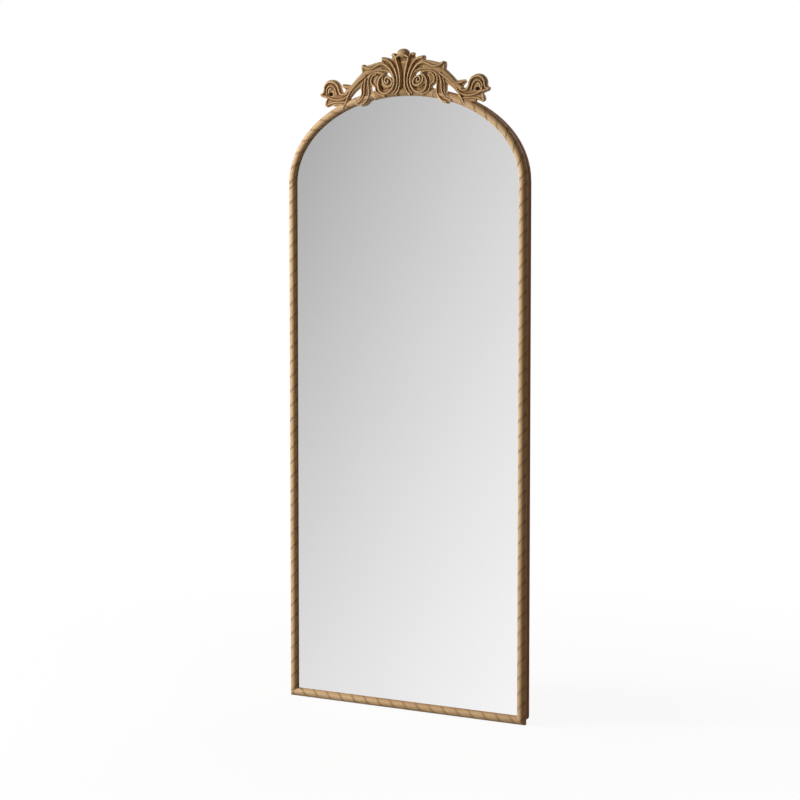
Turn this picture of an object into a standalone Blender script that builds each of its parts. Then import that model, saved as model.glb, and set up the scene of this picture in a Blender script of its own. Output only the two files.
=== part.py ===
"""Arched full length mirror.

A half-round carved moulding runs round an arched sheet of mirror glass and carries a
carved scroll crest. Behind it a screwed and tenoned timber back frame holds the backing
board, two ring hangers and four rubber bumpers.

Metres, +Z up. The front faces -Y. The origin is the centre of the hanging rail's back
face, so the back of the timber lies in the plane Y = 0.
"""

from dataclasses import dataclass
from math import acos, cos, pi, radians, sin, sqrt, tau

import bmesh
import bpy
from mathutils import Matrix, Vector

# Clearances
GAP = 0.0003
OVERRUN = 0.010

# Moulded front frame
MIRROR_WIDTH = 0.762
SIDE_HEIGHT = 1.508
ARCH_RISE = 0.2665
MOULDING_WIDTH = 0.024
BEAD_HEIGHT = 0.012
RABBET_WIDTH = 0.008
MOULDING_ARCH_SEGMENTS = 24
BEAD_SEGMENTS = 10

# Glass and board
GLASS_THICKNESS = 0.004
BOARD_THICKNESS = 0.003
GLASS_EDGE_CLEARANCE = 0.002
GLASS_ARCH_SEGMENTS = 48
SETTING_BLOCK_LENGTH = 0.060
SETTING_BLOCK_SPACING = 0.380

# Timber back frame
BACK_FRAME_DEPTH = 0.018
BACK_FRAME_WIDTH = 0.045
BACK_FRAME_FOOT_RISE = 0.010
BACK_FRAME_CORNER_RADIUS = 0.010
CORNER_SEGMENTS = 5
HANGING_RAIL_WIDTH = 0.060
HANGING_RAIL_DROP = 0.078
LOWER_RAIL_WIDTH = 0.045
LOWER_RAIL_HEIGHT = 0.560
BACK_FRAME_ARCH_SEGMENTS = 18

# Joints of the back frame
TENON_LENGTH = 0.020
TENON_THICKNESS = 0.008
TENON_SHOULDER = 0.008
LOOSE_TENON_LENGTH = 0.040
LOOSE_TENON_WIDTH = 0.024
LOOSE_TENON_THICKNESS = 0.006

# Ring hangers
RING_WIRE_RADIUS = 0.0015
RING_HALF_WIDTH = 0.0125
RING_LEG = 0.008
RING_CORNER_RADIUS = 0.003
RING_ARC_SEGMENTS = 14
RING_CORNER_SEGMENTS = 3
STRAP_THICKNESS = 0.0015
STRAP_WIDTH = 0.016
STRAP_LENGTH = 0.045
STRAP_EYE_SEGMENTS = 15
STRAP_SCREW_DROP = 0.027
STRAP_SCREW_SPACING = 0.011
HANGER_DROP = 0.160

# Rubber bumpers
BUMPER_RADIUS = 0.009
BUMPER_FACE_RADIUS = 0.0075
BUMPER_HEIGHT = 0.008
BUMPER_FLOOR = 0.003
BUMPER_WELL_CLEARANCE = 0.0006
BUMPER_SIDES = 16
BUMPER_TOP_DROP = 0.040
BUMPER_FOOT_RISE = 0.110

# Crest
CREST_HEIGHT = 0.131
CREST_END_SETBACK = 0.109
CREST_RELIEF_DEPTH = 0.0065
CREST_RELIEF_STRETCH = 1.8
CREST_WEB_THICKNESS = 0.0085
CREST_SADDLE_SHARE = 0.36
CREST_SADDLE_OVERLAP = 0.0025
CREST_SADDLE_COVER = 0.004
CREST_SADDLE_SEGMENTS = 14
DOME_RADIUS = 0.0195
DOME_HEIGHT = 0.0135
DOME_DEPTH = 0.0155
DOME_SEGMENTS = 14
DOME_RINGS = 8
RIB_STEPS = 2
RIB_BEVEL_RESOLUTION = 1

# Screws
SCREW_SIDES = 10
SCREW_POINT_SHARE = 0.35
SCREW_SINK = 0.0005
FRAME_SCREW_RADIUS = 0.0018
FRAME_SCREW_HEAD_RADIUS = 0.0036
FRAME_SCREW_HEAD_HEIGHT = 0.0022
FRAME_SCREW_BITE = 0.0047
FRAME_SCREW_EDGE = 0.008
FRAME_SCREW_END = 0.075
SIDE_SCREW_COUNT = 4
FOOT_SCREW_SPACING = 0.300
ARCH_SCREW_SHARES = (0.12, 0.40, 0.80)
CREST_SCREW_RADIUS = 0.0020
CREST_SCREW_HEAD_RADIUS = 0.0040
CREST_SCREW_HEAD_HEIGHT = 0.0024
CREST_SCREW_BITE = 0.0028
CREST_SCREW_SHARES = (0.165, 0.702)
HARDWARE_SCREW_RADIUS = 0.0016
HARDWARE_SCREW_HEAD_RADIUS = 0.0032
HARDWARE_SCREW_HEAD_HEIGHT = 0.0016
HARDWARE_SCREW_LENGTH = 0.0140


@dataclass(frozen=True)
class Screw:
    """A wood screw, its head at the top of its own Z axis."""

    shank_radius: float
    length: float
    head_radius: float
    head_height: float
    countersunk: bool

    def profile(self) -> list:
        """Return the half outline, from the head's centre down to the point."""
        tip = -self.length
        cone = tip + self.shank_radius / SCREW_POINT_SHARE
        if self.countersunk:
            head = [(self.head_radius, 0), (self.shank_radius, -self.head_height)]
            top = 0
        else:
            top = self.head_height
            head = [(self.head_radius, top), (self.head_radius, 0), (self.shank_radius, 0)]
        return [(0, top)] + head + [(self.shank_radius, cone), (0, tip)]

    def bore(self) -> list:
        """Return the half outline of the hole that the screw sits in, with its clearance."""
        radius = self.shank_radius + GAP
        end = [(radius, -self.length - GAP), (0, -self.length - GAP)]
        if not self.countersunk:
            return [(0, OVERRUN), (radius, OVERRUN)] + end
        mouth = self.head_radius + GAP
        return [(0, OVERRUN), (mouth, OVERRUN), (mouth, 0), (radius, -self.head_height)] + end


# Places that follow from the sizes above
HALF_WIDTH = MIRROR_WIDTH / 2
BEAD_HALF = MOULDING_WIDTH / 2
CREST_HALF_SPAN = HALF_WIDTH - CREST_END_SETBACK
CREST_SADDLE_HALF_SPAN = CREST_SADDLE_SHARE * CREST_HALF_SPAN
SPRING_Z = HANGING_RAIL_DROP
FOOT_Z = SPRING_Z - SIDE_HEIGHT
ARCH_A = HALF_WIDTH - BEAD_HALF
ARCH_B = ARCH_RISE - BEAD_HALF
APEX_ANGLE = pi / 2
SIGHT_APEX_Z = SPRING_Z + ARCH_RISE - MOULDING_WIDTH

RABBET_DEPTH = BOARD_THICKNESS + GLASS_THICKNESS + GAP + GAP
MOULDING_BACK = BACK_FRAME_DEPTH + GAP
BOARD_BACK = BACK_FRAME_DEPTH + GAP
GLASS_BACK = BOARD_BACK + BOARD_THICKNESS + GAP
LIP_PLANE = MOULDING_BACK + RABBET_DEPTH
CREST_BACK = LIP_PLANE + GAP

RABBET_WALL = RABBET_WIDTH - BEAD_HALF
GLASS_OFFSET = RABBET_WALL - GLASS_EDGE_CLEARANCE
BACK_INNER_OFFSET = BEAD_HALF - BACK_FRAME_WIDTH
BACK_MIDDLE_OFFSET = BEAD_HALF - BACK_FRAME_WIDTH / 2
BACK_INNER_X = HALF_WIDTH - BACK_FRAME_WIDTH
BACK_FOOT_Z = FOOT_Z + BACK_FRAME_FOOT_RISE
HANGER_Z = SPRING_Z - HANGER_DROP
BACK_MIDDLE_X = ARCH_A + BACK_MIDDLE_OFFSET
LOWER_RAIL_Z = FOOT_Z + LOWER_RAIL_HEIGHT

# The three kinds of screw
FRAME_SCREW_LENGTH = MOULDING_BACK + FRAME_SCREW_BITE - SCREW_SINK
FRAME_SCREW = Screw(FRAME_SCREW_RADIUS, FRAME_SCREW_LENGTH, FRAME_SCREW_HEAD_RADIUS,
                    FRAME_SCREW_HEAD_HEIGHT, True)
CREST_SCREW_LENGTH = LIP_PLANE + BEAD_HEIGHT + CREST_SCREW_BITE - SCREW_SINK
CREST_SCREW = Screw(CREST_SCREW_RADIUS, CREST_SCREW_LENGTH, CREST_SCREW_HEAD_RADIUS,
                    CREST_SCREW_HEAD_HEIGHT, True)
HARDWARE_SCREW = Screw(HARDWARE_SCREW_RADIUS, HARDWARE_SCREW_LENGTH,
                       HARDWARE_SCREW_HEAD_RADIUS, HARDWARE_SCREW_HEAD_HEIGHT, False)

# The crest's ribs on its right half. Each point is a share of the half span, a share of
# the crest's height over the sight edge's apex, and a radius as a share of that height.
CREST_RIB_SHARES = {
    "flute": [(0, 0.80, 0.056), (0, 0.55, 0.044), (0, 0.30, 0.036), (0, 0.10, 0.044)],
    "fan_inner": [(0.125, 0.87, 0.055), (0.062, 0.70, 0.052), (0.032, 0.45, 0.045),
                  (0.026, 0.30, 0.042), (0.045, 0.13, 0.048), (0.090, 0.05, 0.045)],
    "fan_outer": [(0.240, 0.80, 0.058), (0.162, 0.73, 0.052), (0.100, 0.60, 0.050),
                  (0.066, 0.42, 0.050), (0.064, 0.27, 0.048), (0.093, 0.13, 0.050),
                  (0.151, 0.05, 0.050), (0.223, 0.04, 0.045)],
    "volute": [(0.490, 0.64, 0.056), (0.424, 0.59, 0.050), (0.341, 0.61, 0.060),
               (0.251, 0.63, 0.064), (0.180, 0.59, 0.060), (0.128, 0.49, 0.050),
               (0.106, 0.36, 0.050), (0.120, 0.22, 0.054), (0.175, 0.14, 0.054),
               (0.232, 0.18, 0.054), (0.256, 0.29, 0.054), (0.232, 0.39, 0.048),
               (0.186, 0.39, 0.036), (0.178, 0.31, 0.034)],
    "stem": [(0.205, 0.49, 0.055), (0.310, 0.49, 0.070), (0.400, 0.43, 0.075),
             (0.500, 0.31, 0.070), (0.592, 0.15, 0.062), (0.660, -0.03, 0.062),
             (0.700, -0.17, 0.062), (0.726, -0.26, 0.034)],
    "stem_back": [(0.400, 0.55, 0.060), (0.490, 0.47, 0.064), (0.560, 0.34, 0.060),
                  (0.628, 0.20, 0.058), (0.680, 0.19, 0.048), (0.722, 0.24, 0.026)],
    "rocaille": [(0.290, 0.46, 0.060), (0.338, 0.36, 0.052), (0.330, 0.22, 0.046),
                 (0.285, 0.10, 0.050), (0.225, 0.03, 0.045)],
    "leg_inner": [(0.372, 0.42, 0.050), (0.400, 0.26, 0.048), (0.396, 0.08, 0.044),
                  (0.422, -0.05, 0.044), (0.470, -0.11, 0.038)],
    "leg_outer": [(0.438, 0.39, 0.055), (0.460, 0.24, 0.052), (0.452, 0.09, 0.052),
                  (0.486, -0.04, 0.054), (0.545, -0.13, 0.044)],
    "end_scroll": [(0.620, 0.06, 0.052), (0.715, 0.01, 0.054), (0.820, -0.01, 0.054),
                   (0.900, 0.03, 0.054), (0.930, 0.14, 0.056), (0.912, 0.26, 0.056),
                   (0.866, 0.31, 0.056), (0.816, 0.27, 0.052), (0.790, 0.18, 0.048),
                   (0.800, 0.10, 0.040)],
    "end_leaf": [(0.700, -0.09, 0.050), (0.800, -0.10, 0.044), (0.880, -0.12, 0.040),
                 (0.928, -0.17, 0.026)],
    "end_spike": [(0.890, 0.05, 0.046), (0.950, 0.04, 0.036), (0.992, 0.07, 0.018)],
}
DOME_CENTRE_SHARE = 0.895

# The low ground between the ribs: its outline and its three openings, as shares of the
# half span and of the crest's height.
WEB_OUTLINE_SHARES = [
    (-0.02, 0.03), (0.20, 0.02), (0.345, 0.01), (0.40, 0.03), (0.450, 0.06), (0.488, 0.10),
    (0.500, 0.20), (0.556, 0.16), (0.608, 0.07), (0.650, 0.00), (0.735, -0.06), (0.810, -0.10),
    (0.880, -0.13), (0.920, -0.16), (0.922, -0.11), (0.915, -0.02),
    (0.950, 0.03), (0.975, 0.065), (0.948, 0.09), (0.950, 0.20), (0.922, 0.28), (0.884, 0.33),
    (0.838, 0.32), (0.798, 0.26), (0.776, 0.18), (0.764, 0.09), (0.705, 0.07), (0.670, 0.11),
    (0.700, 0.19), (0.690, 0.215), (0.640, 0.21), (0.555, 0.35), (0.478, 0.48),
    (0.484, 0.57), (0.484, 0.62), (0.470, 0.64), (0.430, 0.61), (0.330, 0.66), (0.262, 0.67),
    (0.244, 0.75), (0.226, 0.79), (0.170, 0.76), (0.140, 0.79), (0.128, 0.85), (0.105, 0.88),
    (0.080, 0.88), (0.040, 0.93), (-0.02, 0.94),
]
WEB_OPENING_SHARES = [
    [(0.140, 0.37), (0.128, 0.40), (0.150, 0.47), (0.182, 0.50), (0.172, 0.43)],
    [(0.340, 0.12), (0.330, 0.15), (0.348, 0.20), (0.362, 0.19), (0.366, 0.12)],
    [(0.850, 0.05), (0.846, 0.08), (0.864, 0.10), (0.880, 0.08), (0.874, 0.05)],
]


def reset_scene() -> None:
    """Remove every object so that the model starts from nothing."""
    for item in list(bpy.data.objects):
        bpy.data.objects.remove(item, do_unlink=True)


def new_collection(name: str, parent) -> bpy.types.Collection:
    """Create a collection under the given one."""
    collection = bpy.data.collections.new(name)
    parent.children.link(collection)
    return collection


reset_scene()
PARTS = new_collection("Arched full length mirror", bpy.context.scene.collection)
CUTTERS = new_collection("Mirror cutters", bpy.context.scene.collection)
RIBS = new_collection("Crest ribs", CUTTERS)


def make_material(name: str, colour: tuple, roughness: float, metallic: float):
    """Create a Principled material of one colour."""
    material = bpy.data.materials.new(name)
    material.use_nodes = True
    shader = material.node_tree.nodes["Principled BSDF"]
    shader.inputs["Base Color"].default_value = (*colour, 1.0)
    shader.inputs["Roughness"].default_value = roughness
    shader.inputs["Metallic"].default_value = metallic
    material.diffuse_color = (*colour, 1.0)
    return material


# Looks: colour, roughness, metallic
CARVED = ((0.33, 0.20, 0.10), 0.55, 0.0)
TIMBER = ((0.50, 0.34, 0.19), 0.75, 0.0)
TENON_WOOD = ((0.62, 0.46, 0.28), 0.70, 0.0)
BOARD = ((0.22, 0.13, 0.07), 0.85, 0.0)
MIRROR = ((0.80, 0.80, 0.80), 0.03, 1.0)
STEEL = ((0.62, 0.62, 0.60), 0.35, 1.0)
RUBBER = ((0.02, 0.02, 0.02), 0.80, 0.0)


def add_part(name: str, mesh, look: tuple, smooth_degrees: float = 30.0):
    """Link a mesh to the parts collection under its name, with its own material."""
    part = bpy.data.objects.new(name, mesh)
    PARTS.objects.link(part)
    mesh.name = name
    mesh.materials.clear()
    mesh.materials.append(make_material(name, *look))
    mesh.shade_smooth()
    mesh.set_sharp_from_angle(angle=radians(smooth_degrees))
    return part


def add_cutter(name: str, mesh, collection=None):
    """Link a mesh as a wire cutter that never renders."""
    cutter = bpy.data.objects.new(name, mesh)
    (collection or CUTTERS).objects.link(cutter)
    cutter.display_type = "WIRE"
    cutter.hide_render = True
    return cutter


def subtract(part, cutter) -> None:
    """Cut the cutter out of the part."""
    modifier = part.modifiers.new(cutter.name, "BOOLEAN")
    modifier.operation = "DIFFERENCE"
    modifier.solver = "EXACT"
    modifier.object = cutter


def evaluated_mesh(source, weld: bool):
    """Turn an object into a plain mesh, welding loose caps, and remove the object."""
    depsgraph = bpy.context.evaluated_depsgraph_get()
    mesh = bpy.data.meshes.new_from_object(source.evaluated_get(depsgraph))
    if weld:
        work = bmesh.new()
        work.from_mesh(mesh)
        bmesh.ops.remove_doubles(work, verts=work.verts, dist=GAP / 100)
        work.to_mesh(mesh)
        work.free()
    bpy.data.objects.remove(source, do_unlink=True)
    return mesh


def poly_curve(name: str, outlines: list, closed: bool, dimensions: str):
    """Create a curve object with one POLY spline for each outline of (x, y) points."""
    curve = bpy.data.curves.new(name, "CURVE")
    curve.dimensions = dimensions
    for outline in outlines:
        spline = curve.splines.new("POLY")
        spline.points.add(len(outline) - 1)
        for point, (x, y) in zip(spline.points, outline):
            point.co = (x, y, 0, 1)
        spline.use_cyclic_u = closed
    source = bpy.data.objects.new(name, curve)
    bpy.context.scene.collection.objects.link(source)
    return source


def front_matrix(depth: float) -> Matrix:
    """Stand a flat drawing up: its X to +X, its Y to +Z and its Z forward, from a depth."""
    return Matrix.Translation((0, -depth, 0)) @ Matrix.Rotation(pi / 2, 4, "X")


def swept_mesh(name: str, path: list, profile: list):
    """Sweep a profile of (outward, forward) points along a path run anticlockwise."""
    section = poly_curve(name + "_section", [profile], True, "2D")
    source = poly_curve(name, [path], False, "3D")
    source.data.twist_mode = "Z_UP"
    source.data.bevel_mode = "OBJECT"
    source.data.bevel_object = section
    source.data.use_fill_caps = False
    mesh = evaluated_mesh(source, False)
    bpy.data.objects.remove(section, do_unlink=True)
    return mesh


def trim(mesh, point: tuple, outward: tuple) -> None:
    """Cut a drawing's mesh square through a point, drop the outward side and close it."""
    work = bmesh.new()
    work.from_mesh(mesh)
    everything = work.verts[:] + work.edges[:] + work.faces[:]
    bmesh.ops.bisect_plane(work, geom=everything, dist=GAP / 1000, plane_co=(*point, 0),
                           plane_no=(*outward, 0), clear_outer=True)
    rim = []
    for edge in work.edges:
        middle = (edge.verts[0].co + edge.verts[1].co) / 2 - Vector((*point, 0))
        on_plane = abs(middle.dot(Vector((*outward, 0)).normalized())) < GAP / 10
        if edge.is_boundary and on_plane:
            rim.append(edge)
    bmesh.ops.holes_fill(work, edges=rim)
    bmesh.ops.recalc_face_normals(work, faces=work.faces)
    work.to_mesh(mesh)
    work.free()


def plate_mesh(name: str, outlines: list, thickness: float):
    """Fill flat outlines and give them a thickness, from Z = 0 forward."""
    source = poly_curve(name, outlines, True, "2D")
    source.data.fill_mode = "BOTH"
    source.data.extrude = thickness / 2
    mesh = evaluated_mesh(source, True)
    mesh.transform(Matrix.Translation((0, 0, thickness / 2)))
    return mesh


def box_mesh(name: str, size: tuple):
    """Create a box mesh of the given size about its own centre."""
    work = bmesh.new()
    bmesh.ops.create_cube(work, size=1.0)
    bmesh.ops.scale(work, vec=size, verts=work.verts)
    mesh = bpy.data.meshes.new(name)
    work.to_mesh(mesh)
    work.free()
    return mesh


def box_part(name: str, centre: tuple, size: tuple, look: tuple):
    """Create a box part, placed by its centre."""
    part = add_part(name, box_mesh(name, size), look)
    part.location = centre
    return part


def box_cutter(name: str, centre: tuple, size: tuple):
    """Create a box cutter, placed by its centre."""
    cutter = add_cutter(name, box_mesh(name, size))
    cutter.location = centre
    return cutter


def turned_mesh(name: str, profile: list, sides: int, closed: bool = False):
    """Turn a half outline of (radius, height) points about the Z axis."""
    mesh = bpy.data.meshes.new(name)
    points = [(radius, 0, height) for radius, height in profile]
    edges = [(index, index + 1) for index in range(len(points) - 1)]
    if closed:
        edges.append((len(points) - 1, 0))
    mesh.from_pydata(points, edges, [])
    source = bpy.data.objects.new(name, mesh)
    bpy.context.scene.collection.objects.link(source)
    screw = source.modifiers.new("Turn", "SCREW")
    screw.steps = sides
    screw.render_steps = sides
    screw.use_merge_vertices = True
    screw.merge_threshold = GAP / 100
    turned = evaluated_mesh(source, False)
    return turned


def fasten(name: str, screw: Screw, places: dict, targets: list) -> None:
    """Make one turned screw for each named place and cut its hole in the targets."""
    mesh = turned_mesh(name, screw.profile(), SCREW_SIDES)
    hole = turned_mesh(name + "_bore", screw.bore(), SCREW_SIDES)
    bores = bmesh.new()
    for end, place in places.items():
        part = add_part(name + "_" + end, mesh, STEEL)
        part.matrix_world = place
        bore = hole.copy()
        bore.transform(place)
        bores.from_mesh(bore)
        bpy.data.meshes.remove(bore)
    cutter_mesh = bpy.data.meshes.new(name + "_bores")
    bores.to_mesh(cutter_mesh)
    bores.free()
    bpy.data.meshes.remove(hole)
    cutter = add_cutter(name + "_bores", cutter_mesh)
    for target in targets:
        subtract(target, cutter)


def from_back(x: float, z: float, y: float) -> Matrix:
    """Place a turned fastener at a point of the back, driven towards the front."""
    return Matrix.Translation((x, y, z)) @ Matrix.Rotation(-pi / 2, 4, "X")


def arch_point(angle: float, offset: float) -> tuple:
    """Return the arch's point at an ellipse angle, moved outward by an offset."""
    outward = Vector((cos(angle) / ARCH_A, sin(angle) / ARCH_B)).normalized()
    x = ARCH_A * cos(angle) + outward.x * offset
    z = SPRING_Z + ARCH_B * sin(angle) + outward.y * offset
    return x, z


def arch_run(first: float, last: float, segments: int, offset: float) -> list:
    """Return the points of the arch from one ellipse angle to another."""
    step = (last - first) / segments
    return [arch_point(first + step * index, offset) for index in range(segments + 1)]


def arch_outline(offset: float) -> list:
    """Return the closed outline of the whole frame at an offset from the bead's middle."""
    edge = ARCH_A + offset
    foot = FOOT_Z + BEAD_HALF - offset
    return [(-edge, foot), (edge, foot)] + arch_run(0, pi, GLASS_ARCH_SEGMENTS, offset)


def moulding_profile() -> list:
    """Return the moulding's section: a half-round bead over a base with a rabbet."""
    bead = []
    for index in range(BEAD_SEGMENTS + 1):
        turn = pi * index / BEAD_SEGMENTS
        bead.append((BEAD_HALF * cos(turn), RABBET_DEPTH + BEAD_HEIGHT * sin(turn)))
    return [(BEAD_HALF, 0)] + bead + [(RABBET_WALL, RABBET_DEPTH), (RABBET_WALL, 0)]


def build_mouldings() -> dict:
    """Make the five lengths of moulding, mitred at the foot and butted above."""
    profile = moulding_profile()
    middle = HALF_WIDTH - BEAD_HALF
    foot = FOOT_Z + BEAD_HALF
    slack = GAP / 2
    runs = {
        "moulding_bottom": [(-HALF_WIDTH - OVERRUN, foot), (HALF_WIDTH + OVERRUN, foot)],
        "moulding_right": [(middle, FOOT_Z - OVERRUN), (middle, SPRING_Z + OVERRUN)],
        "moulding_left": [(-middle, SPRING_Z + OVERRUN), (-middle, FOOT_Z - OVERRUN)],
    }
    quarter = arch_run(0, APEX_ANGLE, MOULDING_ARCH_SEGMENTS, 0)
    right_arch = [(middle, SPRING_Z - OVERRUN)] + quarter + [(-OVERRUN, quarter[-1][1])]
    runs["moulding_arch_right"] = right_arch
    runs["moulding_arch_left"] = [(-x, z) for x, z in reversed(right_arch)]
    corner_slack = slack * sqrt(2)
    corners = {1: (HALF_WIDTH, FOOT_Z), -1: (-HALF_WIDTH, FOOT_Z)}
    cuts = {name: [] for name in runs}
    for side, corner in corners.items():
        name = "moulding_right" if side > 0 else "moulding_left"
        arch = "moulding_arch_right" if side > 0 else "moulding_arch_left"
        cuts[name].append(((corner[0], corner[1] + corner_slack), (-side, -1)))
        cuts[name].append(((0, SPRING_Z - slack), (0, 1)))
        cuts["moulding_bottom"].append(((corner[0] - side * corner_slack, corner[1]), (side, 1)))
        cuts[arch].append(((0, SPRING_Z + slack), (0, -1)))
        cuts[arch].append(((side * slack, 0), (-side, 0)))
    pieces = {}
    for name, path in runs.items():
        mesh = swept_mesh(name, path, profile)
        for point, outward in cuts[name]:
            trim(mesh, point, outward)
        pieces[name] = add_part(name, mesh, CARVED)
        pieces[name].matrix_world = front_matrix(MOULDING_BACK)
    return pieces


def build_glazing() -> None:
    """Make the mirror glass, the board behind it and the two blocks it stands on."""
    outline = arch_outline(GLASS_OFFSET)
    glass = add_part("mirror_glass", plate_mesh("mirror_glass", [outline], GLASS_THICKNESS), MIRROR)
    glass.matrix_world = front_matrix(GLASS_BACK)
    board = add_part("backing_board", plate_mesh("backing_board", [outline], BOARD_THICKNESS), BOARD)
    board.matrix_world = front_matrix(BOARD_BACK)
    top = FOOT_Z + BEAD_HALF - GLASS_OFFSET - GAP
    bottom = FOOT_Z + BEAD_HALF - RABBET_WALL + GAP
    size = (SETTING_BLOCK_LENGTH, GLASS_THICKNESS, top - bottom)
    for side, name in ((-1, "setting_block_left"), (1, "setting_block_right")):
        across = side * SETTING_BLOCK_SPACING / 2
        centre = (across, -GLASS_BACK - GLASS_THICKNESS / 2, (top + bottom) / 2)
        box_part(name, centre, size, RUBBER)


def stile_outline(side: int) -> list:
    """Return the outline of an upright of the back frame, its outer foot corner rounded."""
    radius = BACK_FRAME_CORNER_RADIUS
    outer = HALF_WIDTH
    top = SPRING_Z - GAP / 2
    points = [(BACK_INNER_X, top), (BACK_INNER_X, BACK_FOOT_Z)]
    for index in range(CORNER_SEGMENTS + 1):
        turn = -pi / 2 + pi / 2 * index / CORNER_SEGMENTS
        x = outer - radius + radius * cos(turn)
        points.append((x, BACK_FOOT_Z + radius + radius * sin(turn)))
    points.append((outer, top))
    return [(side * x, z) for x, z in points]


def build_back_frame() -> dict:
    """Make the back frame: two stiles, a foot, two arch halves and two cross rails."""
    pieces = {}
    for side, name in ((-1, "back_stile_left"), (1, "back_stile_right")):
        mesh = plate_mesh(name, [stile_outline(side)], BACK_FRAME_DEPTH)
        pieces[name] = add_part(name, mesh, TIMBER)
        pieces[name].matrix_world = front_matrix(0)
    section = [(BACK_INNER_OFFSET, 0), (BEAD_HALF, 0), (BEAD_HALF, BACK_FRAME_DEPTH),
               (BACK_INNER_OFFSET, BACK_FRAME_DEPTH)]
    quarter = arch_run(0, APEX_ANGLE, BACK_FRAME_ARCH_SEGMENTS, 0)
    right = [(ARCH_A, SPRING_Z - OVERRUN)] + quarter + [(-OVERRUN, quarter[-1][1])]
    left = [(-x, z) for x, z in reversed(right)]
    for side, name, path in ((-1, "back_arch_left", left), (1, "back_arch_right", right)):
        mesh = swept_mesh(name, path, section)
        trim(mesh, (0, SPRING_Z + GAP / 2), (0, -1))
        trim(mesh, (side * GAP / 2, 0), (-side, 0))
        pieces[name] = add_part(name, mesh, TIMBER)
        pieces[name].matrix_world = front_matrix(0)
    add_rails(pieces)
    add_loose_tenons(pieces)
    return pieces


def add_rails(pieces: dict) -> None:
    """Add the three cross rails, tenoned into the stiles."""
    stiles = [pieces["back_stile_left"], pieces["back_stile_right"]]
    middle_y = -BACK_FRAME_DEPTH / 2
    length = 2 * (BACK_INNER_X - GAP)
    rails = {
        "back_foot": (BACK_FOOT_Z + BACK_FRAME_WIDTH / 2, BACK_FRAME_WIDTH),
        "lower_rail": (LOWER_RAIL_Z, LOWER_RAIL_WIDTH),
        "hanging_rail": (0, HANGING_RAIL_WIDTH),
    }
    for name, (z, width) in rails.items():
        centre = (0, middle_y, z)
        rail = box_part(name, centre, (length, BACK_FRAME_DEPTH, width), TIMBER)
        tenon_size = Vector((length + 2 * TENON_LENGTH, TENON_THICKNESS, width - 2 * TENON_SHOULDER))
        tenons = box_cutter(name + "_tenons", centre, tenon_size)
        union = rail.modifiers.new("Tenons", "BOOLEAN")
        union.operation = "UNION"
        union.solver = "EXACT"
        union.object = tenons
        clearance = Vector((2 * GAP, 2 * GAP, 2 * GAP))
        mortises = box_cutter(name + "_mortises", centre, tenon_size + clearance)
        for stile in stiles:
            subtract(stile, mortises)
        pieces[name] = rail


def add_loose_tenons(pieces: dict) -> None:
    """Add the loose tenons that join the arch halves to the stiles and to each other."""
    middle_y = -BACK_FRAME_DEPTH / 2
    apex_z = arch_point(APEX_ANGLE, BACK_MIDDLE_OFFSET)[1]
    upright = Vector((LOOSE_TENON_WIDTH, LOOSE_TENON_THICKNESS, LOOSE_TENON_LENGTH))
    level = Vector((LOOSE_TENON_LENGTH, LOOSE_TENON_THICKNESS, LOOSE_TENON_WIDTH))
    spots = {
        "loose_tenon_left": ((-BACK_MIDDLE_X, middle_y, SPRING_Z), upright),
        "loose_tenon_right": ((BACK_MIDDLE_X, middle_y, SPRING_Z), upright),
        "loose_tenon_top": ((0, middle_y, apex_z), level),
    }
    wooden = list(pieces.values())
    for name, (centre, size) in spots.items():
        box_part(name, centre, size, TENON_WOOD)
        slot = box_cutter(name + "_slot", centre, size + Vector((2 * GAP, 2 * GAP, 2 * GAP)))
        for piece in wooden:
            subtract(piece, slot)


def build_frame_screws(frame: dict, mouldings: dict) -> None:
    """Make the screws that hold the back frame to the moulding."""
    places = {}
    edge = HALF_WIDTH - FRAME_SCREW_EDGE
    low = FOOT_Z + FRAME_SCREW_END
    step = (SPRING_Z - FRAME_SCREW_END - low) / (SIDE_SCREW_COUNT - 1)
    foot_z = BACK_FOOT_Z + FRAME_SCREW_EDGE / 2
    for side, end in ((-1, "left"), (1, "right")):
        for index in range(SIDE_SCREW_COUNT):
            z = low + step * index
            places[f"side_{end}_{index + 1}"] = from_back(side * edge, z, -SCREW_SINK)
        for index, share in enumerate(ARCH_SCREW_SHARES):
            x, z = arch_point(APEX_ANGLE * share, BEAD_HALF - FRAME_SCREW_EDGE)
            places[f"arch_{end}_{index + 1}"] = from_back(side * x, z, -SCREW_SINK)
        places["foot_" + end] = from_back(side * FOOT_SCREW_SPACING / 2, foot_z, -SCREW_SINK)
    fasten("frame_screw", FRAME_SCREW, places, list(frame.values()) + list(mouldings.values()))


def build_crest_screws(frame: dict, mouldings: dict, crest) -> None:
    """Make the long screws that hold the crest through the back frame and the moulding."""
    places = {}
    for side, end in ((-1, "left"), (1, "right")):
        for row, share in zip(("inner", "outer"), CREST_SCREW_SHARES):
            x = share * CREST_HALF_SPAN
            z = arch_point(acos(x / ARCH_A), 0)[1]
            places[row + "_" + end] = from_back(side * x, z, -SCREW_SINK)
    targets = [frame["back_arch_left"], frame["back_arch_right"],
               mouldings["moulding_arch_left"], mouldings["moulding_arch_right"], crest]
    fasten("crest_screw", CREST_SCREW, places, targets)


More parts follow.
